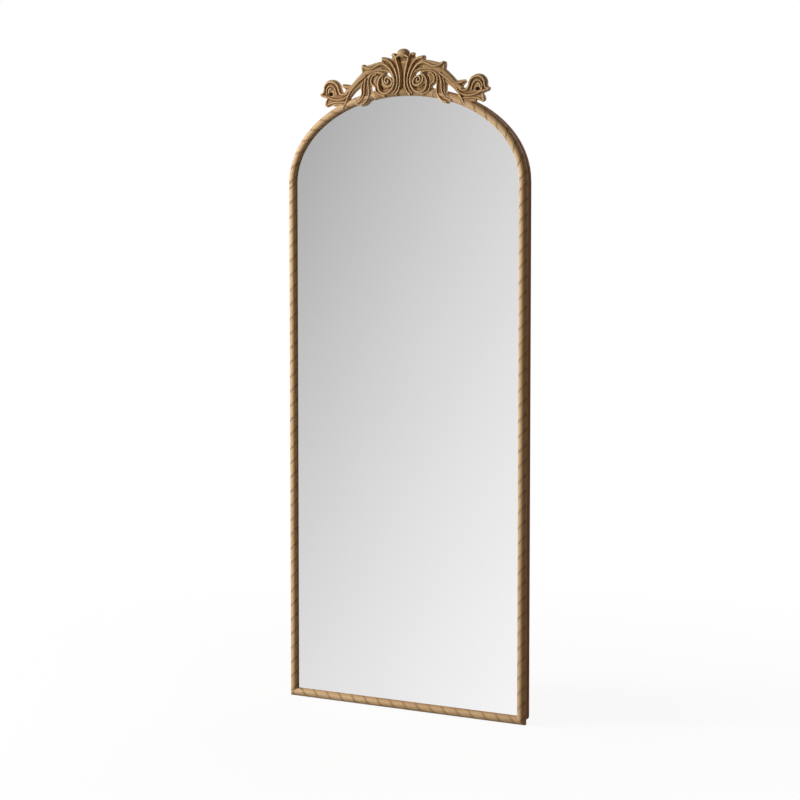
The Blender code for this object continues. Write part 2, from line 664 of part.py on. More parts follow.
def strap_outlines() -> list:
    """Return the side view of a strap with its rolled eye, as (back, up) points."""
    eye = RING_WIRE_RADIUS + GAP
    outer = eye + STRAP_THICKNESS
    centre = GAP + outer
    meet = acos((STRAP_THICKNESS + GAP - centre) / outer)
    outline = [(GAP, 0), (GAP, -STRAP_LENGTH), (GAP + STRAP_THICKNESS, -STRAP_LENGTH)]
    sweep = tau - (pi - meet)
    for index in range(STRAP_EYE_SEGMENTS):
        turn = -meet + sweep * index / STRAP_EYE_SEGMENTS
        outline.append((centre + outer * cos(turn), outer * sin(turn)))
    hole = []
    for index in range(STRAP_EYE_SEGMENTS):
        turn = tau * index / STRAP_EYE_SEGMENTS
        hole.append((centre + eye * cos(turn), eye * sin(turn)))
    return [outline, hole]


def ring_path() -> list:
    """Return the middle line of a ring: a straight bar, two legs and a round end."""
    radius = RING_CORNER_RADIUS
    points = []
    for side in (1, -1):
        for index in range(RING_CORNER_SEGMENTS + 1):
            turn = pi / 2 * index / RING_CORNER_SEGMENTS
            if side < 0:
                turn = pi / 2 - turn
            across = RING_HALF_WIDTH - radius + radius * sin(turn)
            corner = (side * across, radius - radius * cos(turn))
            points.append(corner)
        if side > 0:
            for index in range(RING_ARC_SEGMENTS + 1):
                turn = pi * index / RING_ARC_SEGMENTS
                top = RING_LEG + RING_HALF_WIDTH * sin(turn)
                points.append((RING_HALF_WIDTH * cos(turn), top))
    return points


def build_hangers(frame: dict) -> None:
    """Make the two strap hangers, the rings that swing in them, and their screws."""
    axis_y = GAP + RING_WIRE_RADIUS + GAP + STRAP_THICKNESS
    side_view = Matrix(((0, 0, 1, 0), (1, 0, 0, 0), (0, 1, 0, 0), (0, 0, 0, 1)))
    targets = list(frame.values())
    places = {}
    for side, end in ((-1, "left"), (1, "right")):
        x = side * BACK_MIDDLE_X
        strap_name = "hanger_strap_" + end
        mesh = plate_mesh(strap_name, strap_outlines(), STRAP_WIDTH)
        strap = add_part(strap_name, mesh, STEEL)
        strap.matrix_world = Matrix.Translation((x - STRAP_WIDTH / 2, 0, HANGER_Z)) @ side_view
        targets.append(strap)
        ring_name = "hanger_ring_" + end
        source = poly_curve(ring_name, [ring_path()], True, "3D")
        source.data.bevel_depth = RING_WIRE_RADIUS
        source.data.bevel_resolution = 2
        ring = add_part(ring_name, evaluated_mesh(source, False), STEEL, 60.0)
        axis = Matrix.Translation((x, axis_y, HANGER_Z))
        ring.matrix_world = axis @ front_matrix(0) @ Matrix.Rotation(pi, 4, "Z")
        for index, row in enumerate(("upper", "lower")):
            z = HANGER_Z - STRAP_SCREW_DROP - STRAP_SCREW_SPACING * index
            head_y = GAP + STRAP_THICKNESS + GAP
            places[row + "_" + end] = from_back(x, z, head_y)
    fasten("hanger_screw", HARDWARE_SCREW, places, targets)


def build_bumpers(frame: dict) -> None:
    """Make the four rubber bumpers that keep the hardware off the wall, and their screws."""
    hole = HARDWARE_SCREW.shank_radius + GAP
    well = HARDWARE_SCREW.head_radius + BUMPER_WELL_CLEARANCE
    outline = [(well, BUMPER_HEIGHT), (BUMPER_FACE_RADIUS, BUMPER_HEIGHT), (BUMPER_RADIUS, 0),
               (hole, 0), (hole, BUMPER_FLOOR), (well, BUMPER_FLOOR)]
    heights = {"top": -BUMPER_TOP_DROP, "bottom": FOOT_Z + BUMPER_FOOT_RISE}
    pattern = turned_mesh("bumper", outline, BUMPER_SIDES, True)
    places = {}
    for level, z in heights.items():
        for side, end in ((-1, "left"), (1, "right")):
            spot = level + "_" + end
            bumper = add_part("bumper_" + spot, pattern, RUBBER)
            bumper.matrix_world = from_back(side * BACK_MIDDLE_X, z, GAP)
            head_y = GAP + BUMPER_FLOOR + GAP
            places[spot] = from_back(side * BACK_MIDDLE_X, z, head_y)
    fasten("bumper_screw", HARDWARE_SCREW, places, list(frame.values()))


def rib_mesh(name: str, shares: list):
    """Make one tapered rib of the crest, stretched towards the front."""
    curve = bpy.data.curves.new(name, "CURVE")
    curve.dimensions = "3D"
    curve.twist_mode = "Z_UP"
    curve.resolution_u = RIB_STEPS
    curve.bevel_depth = CREST_HEIGHT
    curve.bevel_resolution = RIB_BEVEL_RESOLUTION
    curve.use_fill_caps = True
    spline = curve.splines.new("BEZIER")
    spline.bezier_points.add(len(shares) - 1)
    for point, (across, up, radius) in zip(spline.bezier_points, shares):
        point.co = (across * CREST_HALF_SPAN, SIGHT_APEX_Z + up * CREST_HEIGHT, 0)
        point.handle_left_type = "AUTO"
        point.handle_right_type = "AUTO"
        point.radius = radius
    source = bpy.data.objects.new(name, curve)
    bpy.context.scene.collection.objects.link(source)
    mesh = evaluated_mesh(source, True)
    mesh.transform(Matrix.Diagonal((1, 1, CREST_RELIEF_STRETCH, 1)))
    return mesh


def saddle_profile(low: float, high: float, forward: float) -> list:
    """Return a half-round section from one offset to another, standing on the lip plane."""
    middle = (low + high) / 2
    reach = (high - low) / 2
    points = []
    for index in range(BEAD_SEGMENTS + 1):
        turn = pi * index / BEAD_SEGMENTS
        points.append((middle + reach * cos(turn), forward * sin(turn)))
    return points


def build_crest():
    """Make the crest: its ribs joined on a saddle, cut to sit over the bead."""
    relief = CREST_BACK + CREST_RELIEF_DEPTH
    for name, shares in CREST_RIB_SHARES.items():
        rib = add_cutter("crest_rib_" + name, rib_mesh(name, shares), RIBS)
        rib.matrix_world = front_matrix(relief)
    work = bmesh.new()
    bmesh.ops.create_uvsphere(work, u_segments=DOME_SEGMENTS, v_segments=DOME_RINGS, radius=1.0)
    bmesh.ops.scale(work, vec=(DOME_RADIUS, DOME_DEPTH, DOME_HEIGHT), verts=work.verts)
    dome_mesh = bpy.data.meshes.new("crest_dome")
    work.to_mesh(dome_mesh)
    work.free()
    dome = add_cutter("crest_dome", dome_mesh, RIBS)
    dome.location = (0, -relief, SIGHT_APEX_Z + DOME_CENTRE_SHARE * CREST_HEIGHT)

    web_outlines = [[(across * CREST_HALF_SPAN, SIGHT_APEX_Z + up * CREST_HEIGHT)
                     for across, up in outline]
                    for outline in [WEB_OUTLINE_SHARES] + WEB_OPENING_SHARES]
    web_mesh = plate_mesh("crest_web", web_outlines, CREST_WEB_THICKNESS + OVERRUN)
    web = add_cutter("crest_web", web_mesh, RIBS)
    web.matrix_world = front_matrix(CREST_BACK - OVERRUN)

    start = acos(CREST_SADDLE_HALF_SPAN / ARCH_A)
    path = arch_run(start, pi - start, CREST_SADDLE_SEGMENTS, 0)
    reach = BEAD_HALF + CREST_SADDLE_OVERLAP
    section = saddle_profile(-reach, reach, BEAD_HEIGHT + CREST_SADDLE_COVER)
    mesh = swept_mesh("crest", path, section)
    for side in (-1, 1):
        trim(mesh, (side * (CREST_SADDLE_HALF_SPAN - CREST_SADDLE_COVER), 0), (side, 0))
    crest = add_part("crest", mesh, CARVED, 40.0)
    crest.matrix_world = front_matrix(LIP_PLANE)

    union = crest.modifiers.new("Ribs", "BOOLEAN")
    union.operation = "UNION"
    union.operand_type = "COLLECTION"
    union.collection = RIBS
    union.solver = "EXACT"
    weld = crest.modifiers.new("Weld", "WELD")
    weld.merge_threshold = GAP / 10

    run = arch_run(0, pi, MOULDING_ARCH_SEGMENTS * 2, 0)
    reach = BEAD_HALF + GAP
    front = saddle_profile(-reach, reach, BEAD_HEIGHT + GAP)
    groove = swept_mesh("bead_groove", run, [(reach, -OVERRUN)] + front + [(-reach, -OVERRUN)])
    trim(groove, (0, SPRING_Z + GAP), (0, -1))
    bead = add_cutter("bead_groove", groove)
    bead.matrix_world = front_matrix(LIP_PLANE)
    subtract(crest, bead)

    centre = (0, -CREST_BACK / 2, SIGHT_APEX_Z + CREST_HEIGHT / 2)
    size = (MIRROR_WIDTH, CREST_BACK, CREST_HEIGHT * 2)
    back_plane = box_cutter("crest_back_plane", centre, size)
    subtract(crest, back_plane)

    mirror = crest.modifiers.new("Mirror", "MIRROR")
    mirror.use_axis = (True, False, False)
    mirror.use_bisect_axis = (True, False, False)
    mirror.merge_threshold = GAP / 30
    return crest


def main() -> None:
    """Build the whole mirror."""
    mouldings = build_mouldings()
    build_glazing()
    frame = build_back_frame()
    crest = build_crest()
    build_frame_screws(frame, mouldings)
    build_crest_screws(frame, mouldings, crest)
    build_hangers(frame)
    build_bumpers(frame)


main()
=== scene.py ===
"""Looks of the arched full length mirror.

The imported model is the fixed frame. This script lays its visible surfaces over it: a
half-round moulding engraved with a twisted ribbon, a carved scroll crest, the silvered
glass, and the timber, board and hardware of the back. Metres, +Z up, front towards -Y.
"""

import logging
from dataclasses import dataclass, field
from enum import Enum
from math import acos, atan2, cos, hypot, pi, radians, sin, sqrt

import bmesh
import bpy
from mathutils import Matrix, Vector


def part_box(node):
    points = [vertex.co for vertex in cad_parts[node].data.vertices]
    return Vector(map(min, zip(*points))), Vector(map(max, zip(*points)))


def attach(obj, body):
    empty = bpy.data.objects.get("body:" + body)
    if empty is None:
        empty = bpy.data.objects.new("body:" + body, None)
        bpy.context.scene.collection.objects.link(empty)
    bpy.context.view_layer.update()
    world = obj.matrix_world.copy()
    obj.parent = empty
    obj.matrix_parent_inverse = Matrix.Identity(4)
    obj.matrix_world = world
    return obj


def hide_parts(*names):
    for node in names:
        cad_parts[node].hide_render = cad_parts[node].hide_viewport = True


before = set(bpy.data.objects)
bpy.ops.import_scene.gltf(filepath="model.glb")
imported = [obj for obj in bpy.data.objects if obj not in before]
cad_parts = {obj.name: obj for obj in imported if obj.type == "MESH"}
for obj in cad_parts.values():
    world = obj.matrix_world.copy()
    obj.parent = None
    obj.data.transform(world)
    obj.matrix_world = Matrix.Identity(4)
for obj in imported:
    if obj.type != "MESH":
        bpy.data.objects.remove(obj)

logging.basicConfig(level=logging.INFO, format="%(message)s")
LOG = logging.getLogger("arched_mirror")

MM = 0.001
ROOT_BODY = "mirror"

# Vertices nearer to a place than this are taken as lying at it
TOUCH = 0.00001
# How near doubles are that get merged: on most pieces, at a cut, and on the finest pieces
MERGE = 0.000005
CUT_MERGE = 0.000001
FINE = 0.0000001

# The Mix node's sockets when it mixes colours
MIX_A = 6
MIX_B = 7
MIX_OUT = 2


class Slot(Enum):
    """The record's material slots."""

    CARVED = "carved_wood"
    CREST = "cast_crest"
    MIRROR = "mirror"
    BOARD = "hardboard"
    TIMBER = "timber"
    TENON = "tenon_wood"
    STEEL = "steel"
    RUBBER = "rubber"


class Grain(Enum):
    """The axis that a length of timber was sawn along."""

    ACROSS = 0
    UPRIGHT = 2


class Side(Enum):
    """A side of the mirror as seen from the front."""

    LEFT = -1
    RIGHT = 1


@dataclass(frozen=True)
class FrameSizes:
    """The sizes that the looks share with the solid model, in metres."""

    half_width: float = 0.381
    spring_z: float = 0.078
    foot_z: float = -1.430
    arch_a: float = 0.369
    arch_b: float = 0.2545
    bead_half: float = 0.012
    rabbet_wall: float = -0.004
    rabbet_depth: float = 0.0076
    moulding_back: float = 0.0183
    gap: float = 0.0003

    @property
    def lip_plane(self) -> float:
        """Depth of the lip that the bead stands on."""
        return self.moulding_back + self.rabbet_depth

    @property
    def crest_back(self) -> float:
        """Depth of the crest's flat back."""
        return self.lip_plane + self.gap

    @property
    def sight_apex_z(self) -> float:
        """Height of the glass opening's top."""
        return self.spring_z + self.arch_b - self.bead_half

    def arch_point(self, angle: float, offset: float = 0.0) -> tuple:
        """Return a point of the arch.

        Args:
            angle: The ellipse angle, 0 at the right spring and pi at the left.
            offset: How far outward of the bead's middle line, in metres.

        Returns:
            The point as (x, z).
        """
        outward = Vector((cos(angle) / self.arch_a, sin(angle) / self.arch_b)).normalized()
        x = self.arch_a * cos(angle) + outward.x * offset
        z = self.spring_z + self.arch_b * sin(angle) + outward.y * offset
        return x, z


SIZES = FrameSizes()


def linear(code: str) -> tuple:
    """Turn a screen colour code into the linear colour that a shader takes.

    Args:
        code: Six hexadecimal digits, red first.

    Returns:
        The colour as (red, green, blue, 1).
    """
    channels = []
    for index in (0, 2, 4):
        value = int(code[index:index + 2], 16) / 255
        if value <= 0.04045:
            channels.append(value / 12.92)
        else:
            channels.append(((value + 0.055) / 1.055) ** 2.4)
    return (*channels, 1.0)


def set_inputs(tree: bpy.types.NodeTree, node: bpy.types.Node, values: dict) -> None:
    """Set a node's inputs or link them.

    Args:
        tree: The tree that the node is in.
        node: The node.
        values: By input name or index, a value, a socket, or a node whose first output is meant.
    """
    for key, value in values.items():
        if isinstance(value, bpy.types.Node):
            value = value.outputs[0]
        if isinstance(value, bpy.types.NodeSocket):
            tree.links.new(value, node.inputs[key])
        else:
            node.inputs[key].default_value = value


def add_node(tree: bpy.types.NodeTree, kind: str, values: dict = None, stops: tuple = (),
             **settings) -> bpy.types.Node:
    """Add a shader node with its settings and links.

    Args:
        tree: The material's or world's node tree.
        kind: The node's type name, without the words ShaderNode.
        values: Its inputs, as set_inputs takes them.
        stops: A colour ramp's stops, as (position, colour code).
        settings: Properties of the node itself.

    Returns:
        The new node.
    """
    node = tree.nodes.new("ShaderNode" + kind)
    for name, value in settings.items():
        setattr(node, name, value)
    set_inputs(tree, node, values or {})
    if stops:
        elements = node.color_ramp.elements
        while len(elements) < len(stops):
            elements.new(1.0)
        for element, (position, code) in zip(elements, stops):
            element.position = position
            element.color = linear(code)
    return node


def new_material(name: str, roughness: float, metallic: float, specular: float = 0.5) -> tuple:
    """Create a material with one Principled shader.

    Args:
        name: The material's name.
        roughness: The shader's roughness.
        metallic: The shader's metallic value.
        specular: The shader's specular level.

    Returns:
        The material, its tree and its shader.
    """
    material = bpy.data.materials.new(name)
    material.use_nodes = True
    tree = material.node_tree
    shader = tree.nodes["Principled BSDF"]
    set_inputs(tree, shader, {"Roughness": roughness, "Metallic": metallic,
                              "Specular IOR Level": specular})
    return material, tree, shader


@dataclass(frozen=True)
class AntiqueFinish:
    """Gilding that was toned, waxed and rubbed back by hand, on the moulding and the crest."""

    # A soft satin gold-brown, palest where it is rubbed and nearly black where the wax stays. The same
    # ramp also carries the painted shade and painted highlights that the pieces write with their wear
    name: str
    hollow_and_shade: str = "2c1b0a"
    shade: str = "865a2e"
    body: str = "bb986a"
    rubbed: str = "debd90"
    fleck: str = "8f683c"
    wash: str = "8e7848"
    roughness: float = 0.50
    specular: float = 0.25
    # Clouds to the metre: 22 mm wide, with flecks a ninth and brush marks three times as wide
    grain_scale: float = 46.0
    fleck_finer: float = 9
    wash_wider: float = 3
    cloud_push: float = 0.30
    fleck_share: float = 0.45
    wash_share: float = 0.34
    pit_depth: float = 0.00025
    along_uv: bool = False
    run_stretch: tuple = (0.16, 1.0, 1.0)

    def build(self) -> bpy.types.Material:
        """Return the material. The pieces carry their hollows in a wear attribute, which also holds
        painted shade and painted highlights.

        Returns:
            The material.
        """
        material, tree, shader = new_material(self.name, self.roughness, 0.0, self.specular)
        if self.along_uv:
            # The moulding's map runs in real metres along the length, so that the toning
            # brushed on lengthways follows the arch too.
            run = add_node(tree, "UVMap", uv_map="run")
            place = add_node(tree, "Mapping", {"Vector": run, "Scale": self.run_stretch})
        else:
            place = add_node(tree, "TexCoord").outputs["Object"]
        wear = add_node(tree, "Attribute", attribute_name="wear").outputs["Fac"]
        cloud = add_node(tree, "TexNoise", {"Vector": place, "Scale": self.grain_scale,
                                            "Detail": 4.0, "Roughness": 0.6})
        speck = add_node(tree, "TexNoise", {"Vector": place,
                                            "Scale": self.grain_scale * self.fleck_finer,
                                            "Detail": 3.0, "Roughness": 0.7})
        patch = add_node(tree, "TexNoise", {"Vector": place,
                                            "Scale": self.grain_scale / self.wash_wider,
                                            "Detail": 3.0, "Roughness": 0.65})
        # The wax doesn't stop at a clean line, so the cloud pushes its edge about.
        pushed = add_node(tree, "Math", {0: cloud, 1: 0.5}, operation="SUBTRACT")
        swung = add_node(tree, "Math", {0: pushed, 1: self.cloud_push, 2: wear},
                         operation="MULTIPLY_ADD")
        # Painted shade and painted highlights pass through this ramp together with the wax and the
        # rubbing.
        toned = add_node(tree, "ValToRGB", {"Fac": swung},
                         ((0.06, self.hollow_and_shade), (0.30, self.shade), (0.54, self.body),
                          (0.86, self.rubbed)))
        spots = add_node(tree, "MapRange", {"Value": speck, "From Min": 0.56, "From Max": 0.70})
        flecked = add_node(tree, "Mix", {0: spots, MIX_A: toned, MIX_B: linear(self.fleck)},
                           data_type="RGBA").outputs[MIX_OUT]
        kept = add_node(tree, "Mix", {0: self.fleck_share, MIX_A: toned, MIX_B: flecked},
                        data_type="RGBA").outputs[MIX_OUT]
        # The wash was brushed on thinly and unevenly over the gilding.
        brushed = add_node(tree, "MapRange", {"Value": patch, "From Min": 0.42, "From Max": 0.66,
                                              "To Min": 0.0, "To Max": self.wash_share})
        washed = add_node(tree, "Mix", {0: brushed, MIX_A: kept, MIX_B: linear(self.wash)},
                          data_type="RGBA").outputs[MIX_OUT]
        dull = add_node(tree, "MapRange", {"Value": wear, "To Min": self.roughness + 0.26,
                                           "To Max": self.roughness - 0.06})
        pits = add_node(tree, "Bump", {"Height": speck, "Distance": self.pit_depth,
                                       "Strength": 0.35})
        set_inputs(tree, shader, {"Base Color": washed, "Roughness": dull, "Normal": pits})
        return material


@dataclass(frozen=True)
class TimberFinish:
    """Planed timber, stained or bare, with its grain along one axis."""

    # Broad rings drawn out along the length, short dark pores, and almost no gloss
    name: str
    pale: str
    deep: str
    pore: str
    grain: Grain
    roughness: float = 0.62
    specular: float = 0.05
    # To the metre: rings 12 mm apart, and pores 3 mm wide, which is coarser than the real
    # ones so that they show
    ring_across: float = 9.0
    ring_along: float = 0.55
    pore_across: float = 300.0
    pore_along: float = 9.0
    pore_share: float = 0.40
    pore_depth: float = 0.00015

    def build(self) -> bpy.types.Material:
        """Return the material, its grain along the given axis.

        Returns:
            The material.
        """
        material, tree, shader = new_material(self.name, self.roughness, 0.0, self.specular)
        place = add_node(tree, "TexCoord").outputs["Object"]
        laid = []
        for wide, long in ((self.ring_across, self.ring_along), (self.pore_across, self.pore_along)):
            stretch = [wide, wide, wide]
            stretch[self.grain.value] = long
            laid.append(add_node(tree, "Mapping", {"Vector": place, "Scale": stretch}))
        warp = add_node(tree, "TexNoise", {"Vector": laid[0], "Scale": 2.2, "Detail": 3.0})
        ring = add_node(tree, "TexNoise", {"Vector": laid[0], "Scale": 9.0, "Detail": 5.0,
                                           "Roughness": 0.62, "Distortion": 0.6})
        fibre = add_node(tree, "TexNoise", {"Vector": laid[1], "Scale": 1.0, "Detail": 2.0})
        rings = add_node(tree, "ValToRGB", {"Fac": ring},
                         ((0.34, self.deep), (0.50, self.pale), (0.62, self.deep), (0.76, self.pale)))
        patch = add_node(tree, "MapRange", {"Value": warp, "From Min": 0.35, "From Max": 0.70})
        base = add_node(tree, "Mix", {0: patch, MIX_A: rings, MIX_B: linear(self.pale)},
                        data_type="RGBA").outputs[MIX_OUT]
        pores = add_node(tree, "MapRange", {"Value": fibre, "From Min": 0.58, "From Max": 0.72})
        pored = add_node(tree, "Mix", {0: pores, MIX_A: base, MIX_B: linear(self.pore)},
                         data_type="RGBA").outputs[MIX_OUT]
        stained = add_node(tree, "Mix", {0: self.pore_share, MIX_A: base, MIX_B: pored},
                           data_type="RGBA").outputs[MIX_OUT]
        grooves = add_node(tree, "Bump", {"Height": fibre, "Distance": self.pore_depth,
                                          "Strength": 0.30})
        set_inputs(tree, shader, {"Base Color": stained, "Normal": grooves})
        return material


@dataclass(frozen=True)
class BoardFinish:
    """The rough back of brown hardboard, which was pressed wet on a wire screen."""

    # Dull mottled brown, with the square marks of the screen
    name: str = "hardboard_back"
    pale: str = "7d5a3c"
    deep: str = "543822"
    roughness: float = 0.85
    specular: float = 0.25
    # Twice the real mesh, so that it shows
    screen_pitch: float = 0.0044
    screen_depth: float = 0.0004

    def build(self) -> bpy.types.Material:
        """Return the material, with the screen's square marks in its bump.

        Returns:
            The material.
        """
        material, tree, shader = new_material(self.name, self.roughness, 0.0, self.specular)
        place = add_node(tree, "TexCoord").outputs["Object"]
        pulp = add_node(tree, "TexNoise", {"Vector": place, "Scale": 240.0, "Detail": 4.0})
        blot = add_node(tree, "TexNoise", {"Vector": place, "Scale": 7.0, "Detail": 3.0})
        fibres = add_node(tree, "ValToRGB", {"Fac": pulp}, ((0.30, self.deep), (0.70, self.pale)))
        dull = add_node(tree, "MapRange", {"Value": blot, "From Min": 0.35, "From Max": 0.75})
        shaded = add_node(tree, "Mix", {0: 0.35, MIX_A: fibres, MIX_B: linear(self.deep)},
                          data_type="RGBA", blend_type="MULTIPLY").outputs[MIX_OUT]
        mottled = add_node(tree, "Mix", {0: dull, MIX_A: fibres, MIX_B: shaded},
                           data_type="RGBA").outputs[MIX_OUT]
        # A wave of scale one turns through 20 radians in a metre.
        scale = 2 * pi / (20 * self.screen_pitch)
        across, upright = (
            add_node(tree, "TexWave", {"Vector": place, "Scale": scale}, bands_direction=axis)
            for axis in "XZ")
        screen = add_node(tree, "Math", {0: across.outputs["Fac"], 1: upright.outputs["Fac"]},
                          operation="MULTIPLY")
        rough = add_node(tree, "Math", {0: screen, 1: pulp}, operation="ADD")
        marks = add_node(tree, "Bump", {"Height": rough, "Distance": self.screen_depth,
                                        "Strength": 0.5})
        set_inputs(tree, shader, {"Base Color": mottled, "Normal": marks})
        return material


@dataclass(frozen=True)
class SilveredGlass:
    """Float glass with a silver coat behind it."""

    # A clear, even reflection: the float bath leaves the face flat, so nothing bumps it
    name: str = "silvered_glass"
    colour: str = "f4f4f4"
    haze: str = "f1f1f1"

    def build(self) -> bpy.types.Material:
        """Return the mirror's material.

        Returns:
            The material.
        """
        material, tree, shader = new_material(self.name, 0.0, 1.0)
        place = add_node(tree, "TexCoord").outputs["Object"]
        cloud = add_node(tree, "TexNoise", {"Vector": place, "Scale": 3.0, "Detail": 1.0})
        tone = add_node(tree, "ValToRGB", {"Fac": cloud}, ((0.0, self.colour), (1.0, self.haze)))
        set_inputs(tree, shader, {"Base Color": tone})
        return material


@dataclass(frozen=True)
class ZincFinish:
    """Bright zinc plate on pressed and drawn steel."""

    # Pale silver with yellow clouds from the plating bath, and fine scuffs
    name: str
    bright: str = "cfd0cc"
    tint: str = "b9b094"
    roughness: float = 0.34
    # To the metre: clouds 6 mm wide and scratches 0.7 mm
    cloud_scale: float = 160.0
    scratch_scale: float = 1400.0
    scratch_depth: float = 0.00005

    def build(self) -> bpy.types.Material:
        """Return the material.

        Returns:
            The material.
        """
        material, tree, shader = new_material(self.name, self.roughness, 1.0)
        place = add_node(tree, "TexCoord").outputs["Object"]
        cloud = add_node(tree, "TexNoise", {"Vector": place, "Scale": self.cloud_scale,
                                            "Detail": 3.0})
        scratch = add_node(tree, "TexNoise", {"Vector": place, "Scale": self.scratch_scale,
                                              "Detail": 2.0})
        tone = add_node(tree, "ValToRGB", {"Fac": cloud}, ((0.38, self.bright), (0.66, self.tint)))
        dull = add_node(tree, "MapRange", {"Value": cloud, "To Min": self.roughness - 0.10,
                                           "To Max": self.roughness + 0.16})
        scuffs = add_node(tree, "Bump", {"Height": scratch, "Distance": self.scratch_depth,
                                         "Strength": 0.4})
        set_inputs(tree, shader, {"Base Color": tone, "Roughness": dull, "Normal": scuffs})
        return material


@dataclass(frozen=True)
class RubberFinish:
    """Black rubber, moulded in a blasted tool."""

    # Dull near-black that dust greys in clouds 5 mm wide
    name: str = "black_rubber"
    black: str = "1b1a19"
    dust: str = "34322f"
    roughness: float = 0.72
    specular: float = 0.3
    cloud_scale: float = 210.0
    grain_depth: float = 0.0002

    def build(self) -> bpy.types.Material:
        """Return the material.

        Returns:
            The material.
        """
        material, tree, shader = new_material(self.name, self.roughness, 0.0, self.specular)
        place = add_node(tree, "TexCoord").outputs["Object"]
        cloud = add_node(tree, "TexNoise", {"Vector": place, "Scale": self.cloud_scale,
                                            "Detail": 4.0})
        tone = add_node(tree, "ValToRGB", {"Fac": cloud}, ((0.35, self.black), (0.75, self.dust)))
        grain = add_node(tree, "Bump", {"Height": cloud, "Distance": self.grain_depth,
                                        "Strength": 0.4})
        set_inputs(tree, shader, {"Base Color": tone, "Normal": grain})
        return material


def select_only(*pieces: bpy.types.Object) -> None:
    """Deselect everything, then select the given objects and make the first one active.

    Args:
        pieces: The objects, the active one first.
    """
    if bpy.context.object and bpy.context.object.mode != "OBJECT":
        bpy.ops.object.mode_set(mode="OBJECT")
    bpy.ops.object.select_all(action="DESELECT")
    for piece in pieces:
        piece.select_set(True)
    bpy.context.view_layer.objects.active = pieces[0]


def take_new(name: str) -> bpy.types.Object:
    """Name the primitive that was just added, and its mesh, and return it.

    Args:
        name: The name for both.

    Returns:
        The object.
    """
    piece = bpy.context.object
    piece.name = name
    piece.data.name = name
    return piece


def select_vertices(piece: bpy.types.Object, chosen) -> None:
    """Enter edit mode and select the vertices that pass a test.

    Args:
        piece: The mesh object.
        chosen: A function that takes a vertex's place and says whether it is chosen.
    """
    select_only(piece)
    bpy.ops.object.mode_set(mode="EDIT")
    bpy.ops.mesh.select_mode(type="VERT")
    bpy.ops.mesh.select_all(action="DESELECT")
    work = bmesh.from_edit_mesh(piece.data)
    for vertex in work.verts:
        if chosen(vertex.co):
            vertex.select_set(True)
    work.select_flush_mode()
    bmesh.update_edit_mesh(piece.data)


def leave_edit() -> None:
    """Go back to object mode."""
    bpy.ops.object.mode_set(mode="OBJECT")


def apply_modifier(piece: bpy.types.Object, kind: str, **settings) -> None:
    """Add a modifier with its settings and apply it.

    Args:
        piece: The object.
        kind: The modifier's type.
        settings: Properties of the modifier.
    """
    select_only(piece)
    modifier = piece.modifiers.new(kind.title(), kind)
    for name, value in settings.items():
        setattr(modifier, name, value)
    bpy.ops.object.modifier_apply(modifier=modifier.name)


def add_object(name: str, data: bpy.types.ID) -> bpy.types.Object:
    """Add an object to the scene.

    Args:
        name: The object's name.
        data: Its mesh, curve, camera or lamp.

    Returns:
        The object.
    """
    added = bpy.data.objects.new(name, data)
    bpy.context.scene.collection.objects.link(added)
    return added


def draw_curve(name: str, outlines: list, closed: bool = True, level: float = 0.0,
               **settings) -> bpy.types.Object:
    """Draw a curve of straight stretches.

    Args:
        name: The curve's name.
        outlines: Its lines, each as points (across, up) in metres.
        closed: Whether each line runs back to its start.
        level: The height that all its points lie at.
        settings: Properties of the curve, its dimensions first.

    Returns:
        The curve's object.
    """
    curve = bpy.data.curves.new(name, "CURVE")
    for key, value in settings.items():
        setattr(curve, key, value)
    for outline in outlines:
        spline = curve.splines.new("POLY")
        spline.points.add(len(outline) - 1)
        for point, (across, up) in zip(spline.points, outline):
            point.co = (across, up, level, 1)
        spline.use_cyclic_u = closed
    return add_object(name, curve)


def turn_to_mesh(drawn: bpy.types.Object) -> bpy.types.Object:
    """Turn a curve's object into a mesh.

    Args:
        drawn: The curve's object.

    Returns:
        The mesh object.
    """
    select_only(drawn)
    bpy.ops.object.convert(target="MESH")
    return bpy.context.object


def set_in_place(piece: bpy.types.Object, place: Matrix) -> None:
    """Bake a placing into a piece's mesh, so that its object stays at the origin.

    Args:
        piece: The mesh object.
        place: The placing.
    """
    piece.data.transform(place)
    piece.matrix_world = Matrix.Identity(4)
    piece.data.update()


def cut_square(piece: bpy.types.Object, point: tuple, outward: tuple) -> None:
    """Cut a piece at a plane, drop what lies outward of it and close the cut.

    Args:
        piece: The mesh object.
        point: A point of the plane.
        outward: The plane's normal, towards the side that goes.
    """
    select_only(piece)
    bpy.ops.object.mode_set(mode="EDIT")
    bpy.ops.mesh.select_all(action="SELECT")
    bpy.ops.mesh.bisect(plane_co=point, plane_no=outward, use_fill=True, clear_outer=True,
                        clear_inner=False, threshold=CUT_MERGE)
    leave_edit()


def face_out(piece: bpy.types.Object, merge: float = MERGE) -> None:
    """Merge a closed piece's doubles and turn all its faces outwards.

    Args:
        piece: The mesh object.
        merge: How near doubles are, in metres.
    """
    select_only(piece)
    bpy.ops.object.mode_set(mode="EDIT")
    bpy.ops.mesh.select_all(action="SELECT")
    bpy.ops.mesh.remove_doubles(threshold=merge)
    bpy.ops.mesh.normals_make_consistent(inside=False)
    leave_edit()


def dress(piece: bpy.types.Object, material: bpy.types.Material, angle: float) -> None:
    """Give a piece its material and shade it smooth up to an angle.

    Args:
        piece: The mesh object.
        material: Its finish.
        angle: The angle in degrees up to which edges are smooth.
    """
    piece.data.materials.clear()
    piece.data.materials.append(material)
    select_only(piece)
    bpy.ops.object.shade_smooth_by_angle(angle=radians(angle))


def stand_for(piece: bpy.types.Object, slot: Slot, body: str, *nodes: str) -> None:
    """Hang a finished piece on its body in place of CAD nodes.

    Args:
        piece: The finished object, at the origin.
        slot: The record's slot for its finish; not used.
        body: The body that it rides on.
        nodes: The nodes that it stands for.
    """
    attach(piece, body)
    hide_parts(*nodes)
    LOG.info("%s stands for %s, %d faces", piece.name, ", ".join(nodes), len(piece.data.polygons))


STAND_UP = Matrix.Rotation(pi / 2, 4, "X")


